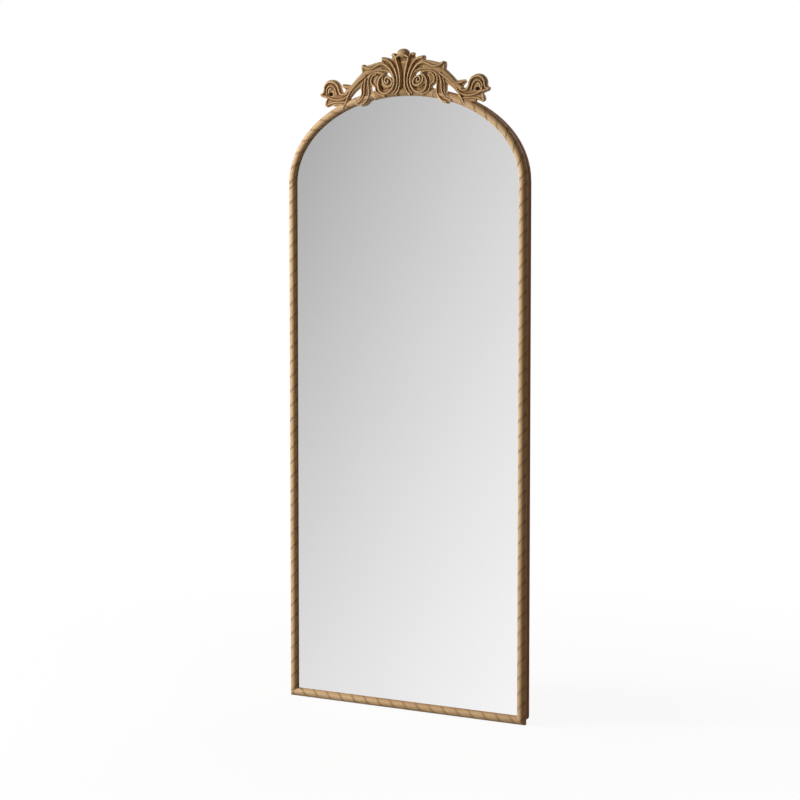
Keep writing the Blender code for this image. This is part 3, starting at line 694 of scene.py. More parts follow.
@dataclass
class RibbonMoulding:
    """Five lengths of half-round moulding, engraved all round with a twisted ribbon."""

    sizes: FrameSizes = SIZES
    pitch: float = 0.0422
    lead: float = 0.036
    groove_depth: float = 0.0011
    ring_sides: int = 40
    arch_steps: int = 128
    overrun: float = 0.060
    # How far up from the lip the grooves start, and the rubbing
    plain_foot: float = 0.0008
    wall_top: float = 0.0004
    # Rows of one pitch, as distance along it and the share of the groove's depth
    rows: tuple = ((0.0, 0.0), (0.0009, 1.0), (0.0018, 0.25), (0.0032, 0.0), (0.0047, 0.25),
                   (0.0056, 1.0), (0.0066, 0.0), (0.0140, 0.0), (0.0230, 0.0), (0.0320, 0.0))
    # The wear, from 0 where wax fills a hollow to 1 where the gilding is rubbed, with painted shade
    # that darkens the bead's sides towards its foot
    foot_wear: float = 0.30
    crown_wear: float = 0.44
    crown_spread: float = 0.8
    ribbon_wear: float = 0.20
    ribbon_edges: tuple = (0.0020, 0.0045)
    groove_wax: float = 0.75
    wall_wear: float = 0.38
    shading_angle: float = 50.0
    strip: bpy.types.Object = field(default=None, init=False)

    def draw_section(self) -> bpy.types.Object:
        """Return the moulding's open section as a wire across the run, at the run's start.

        Returns:
            The strip that each pitch starts from.
        """
        size = self.sizes
        bpy.ops.mesh.primitive_circle_add(vertices=self.ring_sides, radius=size.bead_half,
                                          fill_type="NOTHING", rotation=(0, pi / 2, 0))
        strip = take_new("ribbon_strip")
        bpy.ops.object.transform_apply(location=False, rotation=True, scale=False)
        select_vertices(strip, lambda co: co.z < -TOUCH)
        bpy.ops.mesh.delete(type="VERT")
        leave_edit()
        select_vertices(strip, lambda co: co.y < -size.bead_half + TOUCH)
        for move in ((0, 0, -size.rabbet_depth), (0, size.bead_half - size.rabbet_wall, 0),
                     (0, 0, size.rabbet_depth)):
            bpy.ops.mesh.extrude_region_move(TRANSFORM_OT_translate={"value": move})
        leave_edit()
        inner = -size.rabbet_wall
        select_vertices(strip, lambda co: abs(co.z) < TOUCH and co.y > inner - TOUCH)
        bpy.ops.mesh.edge_face_add()
        leave_edit()
        return strip

    def engrave_pitch(self, strip: bpy.types.Object) -> None:
        """Draw the section out to one pitch, row by row, and press the grooves in.

        Args:
            strip: The section, which grows into the pitch.
        """
        ends = [place for place, _ in self.rows[1:]] + [self.pitch]
        start = 0.0
        for end in ends:
            select_vertices(strip, lambda co, at=start: abs(co.x - at) < TOUCH)
            bpy.ops.mesh.extrude_region_move(TRANSFORM_OT_translate={"value": (end - start, 0, 0)})
            leave_edit()
            start = end
        for place, share in self.rows:
            if share > 0:
                pressed = 1 - share * self.groove_depth / self.sizes.bead_half
                select_vertices(strip, lambda co, at=place: (abs(co.x - at) < TOUCH
                                                             and co.z > self.plain_foot))
                bpy.ops.transform.resize(value=(1, pressed, pressed), center_override=(place, 0, 0))
                leave_edit()

    def wear_at(self, place: Vector) -> float:
        """Return how rubbed a point of the straight, untwisted moulding is, with the painted shade on
        the bead's sides.

        Args:
            place: The point.

        Returns:
            The wear with its painted shade, from 0 for wax to 1 for bare gilding.
        """
        if place.z < self.wall_top:
            return self.wall_wear
        turn = atan2(place.z, place.y)
        # The front-facing crown is lighter as rubbed gilding; the sides darken towards the foot as
        # painted shade.
        wear_and_shade_value = self.foot_wear + self.crown_wear * sin(turn) ** self.crown_spread
        first, last = self.ribbon_edges
        if first < place.x % self.pitch < last:
            wear_and_shade_value += self.ribbon_wear
        pressed = max(0.0, self.sizes.bead_half - hypot(place.y, place.z))
        return max(0.0, wear_and_shade_value - self.groove_wax * pressed / self.groove_depth)

    def lay_pitches(self, length: float) -> bpy.types.Object:
        """Repeat the engraved pitch, twist it and write its wear, painted shade included, and its map.

        Args:
            length: The run's length, with what the end cuts take.

        Returns:
            The straight length, its run along +X, outward -Y, front +Z.
        """
        select_only(self.strip)
        bpy.ops.object.duplicate()
        piece = bpy.context.object
        count = int((length + self.lead) / self.pitch) + 2
        apply_modifier(piece, "ARRAY", count=count, use_relative_offset=False,
                       use_constant_offset=True, constant_offset_displace=(self.pitch, 0, 0),
                       use_merge_vertices=True, merge_threshold=TOUCH)
        mesh = piece.data
        wear = mesh.attributes.new("wear", "FLOAT", "POINT")
        around = []
        for vertex, wear_and_shade_value in zip(mesh.vertices, wear.data):
            wear_and_shade_value.value = self.wear_at(vertex.co)
            turn = atan2(max(vertex.co.z, 0.0), vertex.co.y)
            around.append(turn * self.sizes.bead_half + max(-vertex.co.z, 0.0))
        mesh.uv_layers.new(name="run")
        for loop, spot in zip(mesh.loops, mesh.uv_layers["run"].data):
            spot.uv = (mesh.vertices[loop.vertex_index].co.x, around[loop.vertex_index])
        for vertex in mesh.vertices:
            turn = atan2(max(vertex.co.z, 0.0), vertex.co.y)
            vertex.co.x += self.lead * turn / pi - self.overrun - self.lead
        return piece

    def finish(self, name: str, piece: bpy.types.Object, cuts: list,
               material: bpy.types.Material) -> bpy.types.Object:
        """Trim a laid length, stand it up at its depth and dress it.

        Args:
            name: The node that it stands for.
            piece: The laid length.
            cuts: The end cuts, as (point, outward) in the plane of the frame.
            material: The finish.

        Returns:
            The finished length.
        """
        piece.name = name
        piece.data.name = name
        for point, outward in cuts:
            cut_square(piece, (*point, 0), (*outward, 0))
        face_out(piece)
        depth = Matrix.Translation((0, -self.sizes.lip_plane, 0))
        set_in_place(piece, depth @ STAND_UP)
        dress(piece, material, self.shading_angle)
        stand_for(piece, Slot.CARVED, ROOT_BODY, name)
        return piece

    def build(self, material: bpy.types.Material) -> list:
        """Make the three straight lengths and the two halves of the arch.

        Args:
            material: The finish.

        Returns:
            The five lengths.
        """
        size = self.sizes
        self.strip = self.draw_section()
        self.engrave_pitch(self.strip)
        slack = size.gap / 2
        corner_slack = slack * sqrt(2)
        edge, foot, spring = size.half_width, size.foot_z, size.spring_z
        middle = edge - size.bead_half
        made = []
        tall = spring - foot + 2 * self.overrun
        for side in Side:
            name = "moulding_" + side.name.lower()
            piece = self.lay_pitches(tall)
            start = foot if side is Side.RIGHT else spring
            turn = Matrix.Rotation(side.value * pi / 2, 4, "Z")
            set_in_place(piece, Matrix.Translation((side.value * middle, start, 0)) @ turn)
            cuts = [((side.value * edge, foot + corner_slack), (-side.value, -1)),
                    ((0, spring - slack), (0, 1))]
            made.append(self.finish(name, piece, cuts, material))
        piece = self.lay_pitches(2 * edge + 2 * self.overrun)
        set_in_place(piece, Matrix.Translation((-edge, foot + size.bead_half, 0)))
        cuts = [((side.value * (edge - corner_slack), foot), (side.value, 1)) for side in Side]
        made.append(self.finish("moulding_bottom", piece, cuts, material))
        made.extend(self.bend_arch(material))
        bpy.data.objects.remove(self.strip, do_unlink=True)
        return made

    def bend_arch(self, material: bpy.types.Material) -> list:
        """Bend two laid lengths round the arch and cut each to one half of it.

        Args:
            material: The finish.

        Returns:
            The two halves.
        """
        size = self.sizes
        points = [size.arch_point(pi * index / self.arch_steps)
                  for index in range(self.arch_steps + 1)]
        length = sum(hypot(b[0] - a[0], b[1] - a[1]) for a, b in zip(points, points[1:]))
        guide = draw_curve("arch_line", [points], closed=False, dimensions="2D")
        made = []
        slack = size.gap / 2
        for side in Side:
            piece = self.lay_pitches(length + 2 * self.overrun)
            apply_modifier(piece, "CURVE", object=guide, deform_axis="POS_X")
            cuts = [((0, size.spring_z + slack), (0, -1)), ((side.value * slack, 0), (-side.value, 0))]
            name = "moulding_arch_" + side.name.lower()
            made.append(self.finish(name, piece, cuts, material))
        bpy.data.objects.remove(guide, do_unlink=True)
        return made


class Cut(Enum):
    """The sections that the carver's strokes leave, as (across, down) in half widths."""

    ARRIS = ((1.45, 1.36), (1.05, 1.08), (0.74, 0.80), (0.48, 0.48), (0.28, 0.20), (0.13, 0.05),
             (0.0, 0.0))
    ROLL = ((1.0, 1.1), (0.92, 0.55), (0.66, 0.20), (0.34, 0.04), (0.0, 0.0))
    FLAT = ((1.05, 0.62), (0.88, 0.30), (0.62, 0.12), (0.32, 0.03), (0.0, 0.0))


@dataclass(frozen=True)
class Stroke:
    """One carved member of the crest's right half.

    Points are (across, up, half width) in millimetres, from the centre line and from the
    top of the glass opening. The crown is how far it stands out from the crest's back, at
    the first point and at the last.
    """

    cut: Cut
    crown: tuple
    points: tuple


@dataclass
class ScrollCrest:
    """The pierced crest: scrolls, fan, rocaille and leaves, cast in one piece."""

    strokes: dict
    ground: tuple
    openings: tuple
    fields: tuple
    pockets: tuple
    sizes: FrameSizes = SIZES
    height: float = 0.131
    half_span: float = 0.272
    ground_depth: float = 0.0085
    voxel: float = 0.0009
    seam_merge: float = 0.000002
    # How the carving is rounded after it is joined
    rounding: float = 0.5
    rounding_rounds: int = 8
    triangle_limit: int = 190000
    # How far the solids reach behind the back before they are cut off there
    skirt: float = 0.004
    # How far down a stroke's section reaches, in half widths
    stroke_floor: float = 6.0
    stroke_resolution: int = 6
    saddle_cover: float = 0.0016
    saddle_half_span: float = 0.096
    saddle_steps: int = 40
    dome_sizes: tuple = (0.0195, 0.0135, 0.0150)
    dome_stand: float = 0.0065
    dome_share: float = 0.895
    # How the carving is evened out to the height of its surroundings
    evening: float = 0.7
    evening_rounds: int = 60
    # The tone of level stretches, and how far above them a point has to stand for one more,
    # which is held at 1. Proud points get rubbed gilding and painted highlight, low ones wax and
    # painted shade
    level_wear: float = 0.445
    tone_height: float = 0.0031
    shading_angle: float = 75.0

    def section_curve(self, cut: Cut) -> bpy.types.Object:
        """Return the closed section of a stroke, drawn for a half width of one metre.

        Args:
            cut: The section's form.

        Returns:
            The curve's object.
        """
        half = [(across, -down) for across, down in cut.value]
        left = [(-across, up) for across, up in reversed(half[:-1])]
        edge, floor = half[0][0], -self.stroke_floor
        outline = [(edge, floor)] + half + left + [(-edge, floor)]
        return draw_curve("section_" + cut.name.lower(), [outline], dimensions="2D")

    def carve(self, name: str, stroke: Stroke, section: bpy.types.Object) -> bpy.types.Object:
        """Sweep one stroke's section along its line and turn it into a mesh.

        Args:
            name: The stroke's name.
            stroke: Its line, sizes and cut.
            section: The curve of its section.

        Returns:
            The stroke as a mesh.
        """
        bpy.ops.curve.primitive_bezier_curve_add(radius=0.01)
        line = take_new("carving_" + name)
        spline = line.data.splines[0]
        spline.bezier_points.add(len(stroke.points) - len(spline.bezier_points))
        first, last = stroke.crown
        count = len(stroke.points) - 1
        for index, (point, (across, up, half)) in enumerate(zip(spline.bezier_points, stroke.points)):
            crown = first + (last - first) * index / count
            point.co = (across * MM, self.sizes.sight_apex_z + up * MM, crown * MM)
            point.handle_left_type = "AUTO"
            point.handle_right_type = "AUTO"
            point.radius = half * MM
        line.data.dimensions = "3D"
        line.data.fill_mode = "FULL"
        line.data.twist_mode = "Z_UP"
        line.data.resolution_u = self.stroke_resolution
        line.data.bevel_mode = "OBJECT"
        line.data.bevel_object = section
        line.data.use_fill_caps = True
        return turn_to_mesh(line)

    def fill_plate(self, name: str, outlines: tuple, depth: float) -> bpy.types.Object:
        """Return a flat plate that reaches from behind the crest's back to a depth.

        Args:
            name: The plate's name.
            outlines: The edge and the holes, as (across, up) in millimetres.
            depth: How far its face stands out from the crest's back, in metres.

        Returns:
            The plate.
        """
        base = self.sizes.sight_apex_z
        lines = [[(across * MM, base + up * MM) for across, up in outline] for outline in outlines]
        plate = draw_curve(name, lines, dimensions="2D", fill_mode="BOTH",
                           extrude=(depth + self.skirt) / 2)
        plate.location.z = (depth - self.skirt) / 2
        plate = turn_to_mesh(plate)
        bpy.ops.object.transform_apply(location=True, rotation=False, scale=False)
        return plate

    def fill_ground(self) -> list:
        """Return the low ground with its openings, and the raised fields with their pockets.

        Returns:
            The plates.
        """
        wide, tall = self.half_span / MM, self.height / MM
        low = tuple(tuple((across * wide, up * tall) for across, up in outline)
                    for outline in (self.ground, *self.openings))
        plates = [self.fill_plate("crest_ground", low, self.ground_depth)]
        for (depth, outline), holes in zip(self.fields, self.pockets):
            plates.append(self.fill_plate("crest_field", (outline, *holes), depth * MM))
        return plates

    def cover_bead(self) -> bpy.types.Object:
        """Return the thin saddle that the crest lays over the bead.

        Returns:
            The saddle.
        """
        size = self.sizes
        start = acos(self.saddle_half_span / size.arch_a)
        line = [size.arch_point(start + (pi - 2 * start) * index / self.saddle_steps)
                for index in range(self.saddle_steps + 1)]
        return turn_to_mesh(draw_curve(
            "crest_saddle", [line], closed=False, level=-size.gap, dimensions="3D",
            fill_mode="FULL", twist_mode="Z_UP", bevel_depth=size.bead_half + self.saddle_cover,
            bevel_resolution=5, use_fill_caps=True))

    def raise_dome(self) -> bpy.types.Object:
        """Return the half dome at the top.

        Returns:
            The dome.
        """
        up = self.sizes.sight_apex_z + self.dome_share * self.height
        bpy.ops.mesh.primitive_uv_sphere_add(segments=48, ring_count=24, radius=1.0,
                                             location=(0, up, self.dome_stand),
                                             scale=self.dome_sizes)
        bpy.ops.object.transform_apply(location=True, rotation=False, scale=True)
        return take_new("crest_dome")

    def flatten_back(self, crest: bpy.types.Object) -> None:
        """Cut the skirt away at the crest's back and fill the whole outline with small faces.

        Args:
            crest: The mirrored crest, still with its skirt.
        """
        select_only(crest)
        bpy.ops.object.mode_set(mode="EDIT")
        bpy.ops.mesh.select_mode(type="EDGE")
        bpy.ops.mesh.select_all(action="SELECT")
        bpy.ops.mesh.bisect(plane_co=(0, 0, 0), plane_no=(0, 0, -1), use_fill=False,
                            clear_outer=True, clear_inner=False, threshold=FINE)
        bpy.ops.mesh.select_all(action="DESELECT")
        bpy.ops.mesh.select_non_manifold(extend=False, use_wire=False, use_boundary=True,
                                         use_multi_face=False, use_non_contiguous=False,
                                         use_verts=False)
        bpy.ops.mesh.fill(use_beauty=True)
        leave_edit()

    def write_wear(self, crest: bpy.types.Object) -> None:
        """Write where the casting is rubbed and where painted shade and highlights fall: how far each
        point stands over its surroundings.

        Args:
            crest: The crest in its place.
        """
        select_only(crest)
        bpy.ops.object.duplicate()
        level = bpy.context.object
        apply_modifier(level, "SMOOTH", factor=self.evening, iterations=self.evening_rounds)
        mesh = crest.data
        wear = mesh.attributes.new("wear", "FLOAT", "POINT")
        for vertex, even, wear_and_shade_value in zip(mesh.vertices, level.data.vertices, wear.data):
            proud = (vertex.co - even.co).dot(vertex.normal)
            # Troughs get painted shade and ridges painted highlights, along with the wax and the
            # rubbing.
            wear_and_shade_value.value = min(1.0, max(0.0, self.level_wear + proud / self.tone_height))
        bpy.data.objects.remove(level, do_unlink=True)

    def build(self, material: bpy.types.Material) -> bpy.types.Object:
        """Carve the right half, mirror it, flatten its back and dress it.

        Args:
            material: The finish.

        Returns:
            The crest.
        """
        solids = self.fill_ground() + [self.cover_bead(), self.raise_dome()]
        sections = {cut: self.section_curve(cut) for cut in Cut}
        for name, stroke in self.strokes.items():
            solids.append(self.carve(name, stroke, sections[stroke.cut]))
        for section in sections.values():
            bpy.data.objects.remove(section, do_unlink=True)
        select_only(*solids)
        bpy.ops.object.join()
        crest = take_new("crest_carving")
        apply_modifier(crest, "REMESH", mode="VOXEL", voxel_size=self.voxel)
        apply_modifier(crest, "SMOOTH", factor=self.rounding, iterations=self.rounding_rounds)
        apply_modifier(crest, "MIRROR", use_axis=(True, False, False), merge_threshold=self.seam_merge,
                       use_bisect_axis=(True, False, False), bisect_threshold=FINE)
        self.flatten_back(crest)
        triangles = sum(len(face.vertices) - 2 for face in crest.data.polygons)
        apply_modifier(crest, "DECIMATE", ratio=min(1.0, self.triangle_limit / triangles))
        face_out(crest, FINE)
        set_in_place(crest, Matrix.Translation((0, -self.sizes.crest_back, 0)) @ STAND_UP)
        self.write_wear(crest)
        dress(crest, material, self.shading_angle)
        stand_for(crest, Slot.CREST, ROOT_BODY, "crest")
        return crest


# The crest's carved members, measured along their crowns
CREST_STROKES = {
    "flute_edge": Stroke(Cut.ARRIS, (17, 16), (
        (26.4, 114.6, 4.3), (19.5, 100.2, 4.3), (14.7, 85.8, 4.1), (10.3, 68.5, 3.8),
        (8.1, 52.2, 3.6), (7.8, 37.8, 3.6), (9.8, 22.5, 3.8), (15.6, 10, 4), (24.4, 2.3, 3.8))),
    "ear": Stroke(Cut.ROLL, (14.5, 13.5), (
        (22.5, 107.5, 3.6), (26.5, 112.2, 5.4), (30.6, 113.6, 6), (34.2, 113, 4.4),
        (36.6, 111.6, 1.6))),
    "fan": Stroke(Cut.ARRIS, (17, 15.5), (
        (65, 103.4, 3), (61.5, 103, 4.6), (54.7, 101.6, 4.6), (45.9, 99.2, 4.3),
        (35.2, 90.6, 4.2), (26.4, 77.2, 4),
        (19.5, 60.8, 3.8), (16.1, 44.5, 3.6), (17.1, 29.2, 3.6), (22.5, 15.7, 3.8),
        (31.3, 5.2, 3.8))),
    "fan_tip": Stroke(Cut.ROLL, (14.5, 13.5), (
        (66, 108.6, 1.6), (65.2, 105.6, 3.6), (64.8, 100.5, 4.2), (64.6, 94.5, 3.4))),
    "arm": Stroke(Cut.ARRIS, (17, 17), (
        (129.5, 87.6, 3.4), (122.1, 82.5, 4.3), (110.4, 78.7, 4.3), (99.6, 77.9, 4.3),
        (87.9, 82, 4.8), (76.2, 87.3, 4.8), (64.5, 89.6, 4.8), (52.7, 85.8, 4.3), (42, 77.2, 4.1),
        (33.2, 64.7, 4), (27.3, 50.3, 3.8), (25.9, 35.9, 3.8), (30.3, 22.5, 3.8), (40, 11.9, 3.8),
        (52.7, 7.1, 3.8), (65.4, 9, 3.8), (74.2, 17.7, 3.8), (77.6, 29.2, 3.8), (76.2, 41.7, 3.8),
        (70.3, 52.2, 3.8), (61.5, 58, 3.8))),
    "arm_top": Stroke(Cut.ROLL, (14.5, 14.5), (
        (58.6, 92.5, 4.2), (73.3, 91.4, 5.2), (87.9, 88.8, 5.4), (102.6, 85, 5.4),
        (117.2, 83, 5.2), (128.9, 86.2, 4.8))),
    "hook": Stroke(Cut.ROLL, (13.5, 12.5), (
        (129, 89.6, 1.8), (129.6, 86.6, 4.4), (130.2, 80, 4.6), (129.4, 72.5, 4.2),
        (127.5, 66, 3.6))),
    "body": Stroke(Cut.FLAT, (13.5, 14.5), (
        (66, 76, 6), (80, 75, 8), (95, 72.5, 8.5), (110, 69, 9.5), (124, 61.5, 10.5),
        (138, 50, 10.5), (152, 37, 10.2), (165, 25.5, 9.5), (177, 17.5, 7.5), (186, 14, 5))),
    "inner": Stroke(Cut.ARRIS, (15, 15), (
        (92.8, 70.5, 3), (76.2, 72.4, 3.4), (60.6, 72, 3.4), (48.8, 69.9, 2.8), (41, 66, 2.5),
        (34.8, 58, 2.3), (31, 48, 2.2), (29.6, 37.5, 2.1))),
    "volute": Stroke(Cut.ROLL, (14, 16), (
        (56.7, 60.2, 2.5), (62.7, 53.6, 3), (64.2, 44.6, 3.2), (60, 34.4, 3.5), (50.1, 27.5, 3.6),
        (39.6, 27.5, 3.5), (33.9, 33.8, 3), (35.9, 42.9, 2.8), (42.4, 50.1, 2.7), (51, 51.5, 2.7),
        (56.1, 45.8, 2.6), (54.2, 38.2, 2.5), (48, 36.5, 2.4), (45.6, 41.7, 2.2), (49.1, 44.8, 2))),
    "lobe_rim": Stroke(Cut.ARRIS, (15, 15), (
        (84, 61.8, 3.1), (94, 57.5, 3.1), (100.2, 49.3, 3.1), (101, 40, 3.1), (95.5, 32, 3),
        (88.2, 27, 2.9), (86.6, 19.6, 2.9), (83.6, 11.9, 3), (77, 6.5, 3.2), (68.4, 3.3, 3.5),
        (56.6, 1.3, 3.5))),
    "lobe_floor": Stroke(Cut.ROLL, (12.2, 12.2), (
        (82, 55, 3), (87.6, 46, 4.6), (87.6, 35, 4.6), (81.5, 23.5, 4.2), (75, 14, 3))),
    "stem_start": Stroke(Cut.ARRIS, (16, 14), (
        (58.6, 60.8, 3.2), (70.3, 65.2, 3.4), (84, 66.2, 3.6), (97.7, 63, 3.8), (108, 57.3, 3.8),
        (115, 52, 3.2))),
    "stem_lower": Stroke(Cut.ROLL, (12, 11.5), (
        (112, 52, 3.8), (123.1, 45.5, 4.3), (136.7, 35.9, 4.3), (150.4, 25, 4.3),
        (163.1, 14.4, 4.3), (171.9, 4.2, 4))),
    "stem_ridge": Stroke(Cut.ARRIS, (16.5, 13.5), (
        (117.5, 60, 2.8), (123, 55, 3.6), (137, 45.6, 4.2), (151, 33.6, 4.2), (163.5, 22.2, 4.2),
        (171.5, 12, 4.2), (177.5, 0.5, 4.2), (183.5, -12, 4), (190, -23, 3.4), (196.5, -32.2, 2.9))),
    "stem_tip": Stroke(Cut.ARRIS, (14.5, 13.5), (
        (166, 29.5, 4), (176, 29, 5.2), (184, 30.2, 5.4), (191, 32.5, 4.4), (197, 35, 2.6))),
    "leg_inner": Stroke(Cut.ARRIS, (15, 14), (
        (103.5, 59, 1.6), (108.4, 51, 2.9), (110.4, 40.6, 3.3), (109.4, 28.2, 3.3), (108.2, 13.8, 3.3),
        (109.8, 0.8, 3.6), (116, -9.5, 3.8), (126, -18.2, 3.8), (138, -22.2, 3.6))),
    "leg_middle": Stroke(Cut.ARRIS, (15.5, 13.5), (
        (117, 51, 1.8), (120.6, 42, 3.4), (123.1, 25.3, 3.8), (124, 10.9, 3.8),
        (128.9, -1.5, 4), (137.7, -11.1, 4.3), (148.5, -16.9, 4.3), (154.3, -15, 3.4))),
    "leg_outer": Stroke(Cut.ARRIS, (14, 13.5), (
        (127.9, 43, 1.8), (131.3, 33, 3.2), (132.3, 20.5, 3.2), (132, 8.1, 3.2),
        (135.8, -0.6, 3.4), (143.6, -7.3, 2.9))),
    "end_scroll": Stroke(Cut.ARRIS, (14.5, 14), (
        (178.7, 10.9, 4.3), (191.4, 8.1, 4.8), (201.2, 10, 4.8), (207.1, 18.6, 4.8),
        (211, 31.1, 4.8), (220.7, 41.7, 4.8), (235.4, 45.5, 4.8), (248.1, 40.7, 4.8),
        (254.9, 31.1, 4.6), (255.9, 20.5, 4.3), (259.8, 13.8, 3.8), (269.6, 9.5, 2.5))),
    "end_ring": Stroke(Cut.ARRIS, (14, 13.5), (
        (215, 9, 2.2), (218, 19, 3.2), (223.5, 28.4, 3.6), (232, 34, 3.8), (241, 32.6, 3.7),
        (247.2, 25.6, 3.4), (248.6, 17, 3.2), (246.2, 9, 2.4))),
    "end_leaf": Stroke(Cut.ROLL, (12.6, 12), (
        (233, 25.6, 2), (239, 24, 3), (242, 18, 2.6), (241.6, 13, 1.8))),
    "boat_rim": Stroke(Cut.ARRIS, (14, 13.5), (
        (173.9, 8.1, 3.8), (183.6, 0.4, 3.8), (197.3, -4.9, 4.2), (214.9, -5.9, 4.2),
        (230.5, -2.5, 4.2), (243.2, 2.8, 4), (255.9, 6.1, 3.5), (267.6, 8.5, 2.5))),
    "boat_floor": Stroke(Cut.ROLL, (10.5, 10.5), (
        (185.6, 5.2, 3.8), (201.2, 2.3, 4.8), (216.8, 2.3, 4.8), (230.5, 4.2, 3.8))),
    "leaf_rim": Stroke(Cut.ARRIS, (13, 12), (
        (187.5, -14, 3.8), (203.2, -13.1, 4), (220.7, -13.1, 4), (236.4, -15.9, 3.8),
        (245, -19.8, 3.5), (250.5, -23.4, 2.3))),
    "leaf_floor": Stroke(Cut.ARRIS, (12, 11.5), (
        (191.4, -19.8, 3.3), (209, -17.9, 3.3), (228.5, -19.8, 3.1))),
    "leaf_end": Stroke(Cut.ROLL, (12, 11.5), (
        (247.5, -4.5, 2), (250, -9.5, 4), (251.6, -17, 4.4), (252.6, -23.4, 2.8))),
    "lip": Stroke(Cut.ROLL, (20, 19), (
        (0, 112.2, 2.9), (8.8, 111.2, 2.9), (15.6, 108.8, 2.9), (20.5, 105, 2.4))),
}

# The crest's low ground, as shares of its half span and of its height
CREST_GROUND = (
    (-0.02, 0.03), (0.20, 0.02), (0.345, 0.01), (0.40, 0.03), (0.450, 0.06), (0.488, 0.10),
    (0.500, 0.20), (0.556, 0.16), (0.608, 0.07), (0.650, 0.00), (0.735, -0.06), (0.810, -0.10),
    (0.880, -0.13), (0.920, -0.16), (0.922, -0.11), (0.915, -0.02), (0.950, 0.03), (0.975, 0.065),
    (0.948, 0.09), (0.950, 0.20), (0.922, 0.28), (0.884, 0.33), (0.838, 0.32), (0.798, 0.26),
    (0.776, 0.18), (0.764, 0.09), (0.705, 0.07), (0.670, 0.11), (0.700, 0.19), (0.690, 0.215),
    (0.640, 0.21), (0.555, 0.35), (0.478, 0.48), (0.484, 0.57), (0.484, 0.62), (0.470, 0.64),
    (0.430, 0.61), (0.330, 0.66), (0.262, 0.67), (0.244, 0.75), (0.226, 0.79), (0.170, 0.76),
    (0.140, 0.79), (0.128, 0.85), (0.105, 0.88), (0.080, 0.88), (0.040, 0.93), (-0.02, 0.94))

# The openings through the ground, in the same shares
CREST_OPENINGS = (
    ((0.138, 0.35), (0.130, 0.40), (0.140, 0.45), (0.160, 0.495), (0.184, 0.51), (0.202, 0.49),
     (0.196, 0.445), (0.176, 0.42), (0.156, 0.395)),
    ((0.338, 0.10), (0.330, 0.15), (0.338, 0.20), (0.362, 0.26), (0.384, 0.26), (0.386, 0.11)),
    ((0.842, 0.045), (0.838, 0.09), (0.862, 0.128), (0.886, 0.105), (0.884, 0.05)))

# The fields inside the outline, as (height, edge) in millimetres: the floor of the end
# scroll's eye, the body, the end scroll, the leaf under it and the space in the fan
CREST_FIELDS = (
    (2.5, ((222.0, -4.0), (248.0, -4.0), (248.0, 20.0), (222.0, 20.0))),
    (11.2, (
        (24.4, 3.0), (54.4, 3.0), (93.8, 2.0), (108.8, 4.5), (112.0, -4.0), (124.0, -12.0),
        (136.0, -16.0), (150.0, -15.0), (146.0, -6.0), (136.0, 8.0), (133.0, 28.0),
        (136.5, 30.0), (150.0, 22.0), (162.0, 12.0), (168.0, 4.0), (176.0, 8.0), (170.0, 22.0),
        (158.0, 38.0), (145.0, 53.0), (132.0, 68.0), (128.0, 84.0), (116.0, 80.0),
        (100.0, 79.0), (88.0, 84.0), (72.0, 87.0), (64.0, 96.0), (56.0, 103.0), (46.0, 98.0),
        (38.0, 98.0), (30.0, 108.0), (25.0, 108.0), (19.5, 96.0), (14.7, 82.0), (10.3, 66.0),
        (8.1, 52.2), (7.8, 37.8), (9.8, 22.5), (15.6, 10.0))),
    (10.2, (
        (168.0, 6.0), (184.0, -3.0), (210.0, -8.0), (232.0, -5.0), (248.0, 2.0), (262.0, 6.0),
        (256.0, 12.0), (256.0, 30.0), (246.0, 40.0), (232.0, 44.0), (220.0, 40.0),
        (212.0, 28.0), (206.0, 12.0), (194.0, 8.0), (182.0, 12.0), (174.0, 16.0))),
    (9.8, (
        (184.0, -13.0), (226.0, -13.0), (246.0, -18.0), (254.0, -12.0), (240.0, -8.0),
        (206.0, -6.0))),
    (9.6, (
        (-0.5, 4.0), (26.0, 4.0), (17.0, 12.0), (12.0, 30.0), (12.0, 58.0), (20.0, 86.0),
        (24.0, 94.0), (-0.5, 94.0))))

# The spots that each field leaves open, down to the low ground: none in the eye's floor,
# then those of the body and that of the end scroll
CREST_POCKETS = ((), (
    ((36.0, 60.0), (42.0, 66.0), (50.0, 68.0), (55.5, 65.0), (54.0, 58.0), (48.0, 54.5),
     (42.5, 51.0), (39.5, 46.5), (37.5, 40.0), (38.0, 32.0), (35.0, 31.0), (33.5, 40.0),
     (34.0, 50.0)),
    ((36.0, 26.0), (42.0, 17.0), (52.0, 12.5), (63.0, 14.5), (70.0, 21.0), (72.5, 31.0),
     (68.5, 31.0), (61.0, 24.0), (50.0, 21.0), (42.0, 24.0), (37.0, 31.0)),
    ((57.0, 56.5), (65.0, 59.0), (74.0, 61.0), (82.0, 60.0), (78.0, 56.0), (70.0, 54.0)),
    ((104.0, 53.0), (106.5, 42.0), (106.0, 29.0), (105.5, 13.0), (91.0, 13.0), (89.5, 20.0),
     (91.5, 27.0), (99.0, 32.0), (103.5, 41.0)),
    ((125.5, 43.0), (130.5, 38.0), (131.0, 11.0), (127.0, 4.0), (125.5, 13.0), (125.0, 28.0))),
    (((228.0, 6.0), (227.0, 11.0), (230.0, 16.0), (236.0, 17.5), (241.5, 15.0), (242.0, 9.0),
      (238.0, 5.5), (232.0, 4.5)),), (), ())


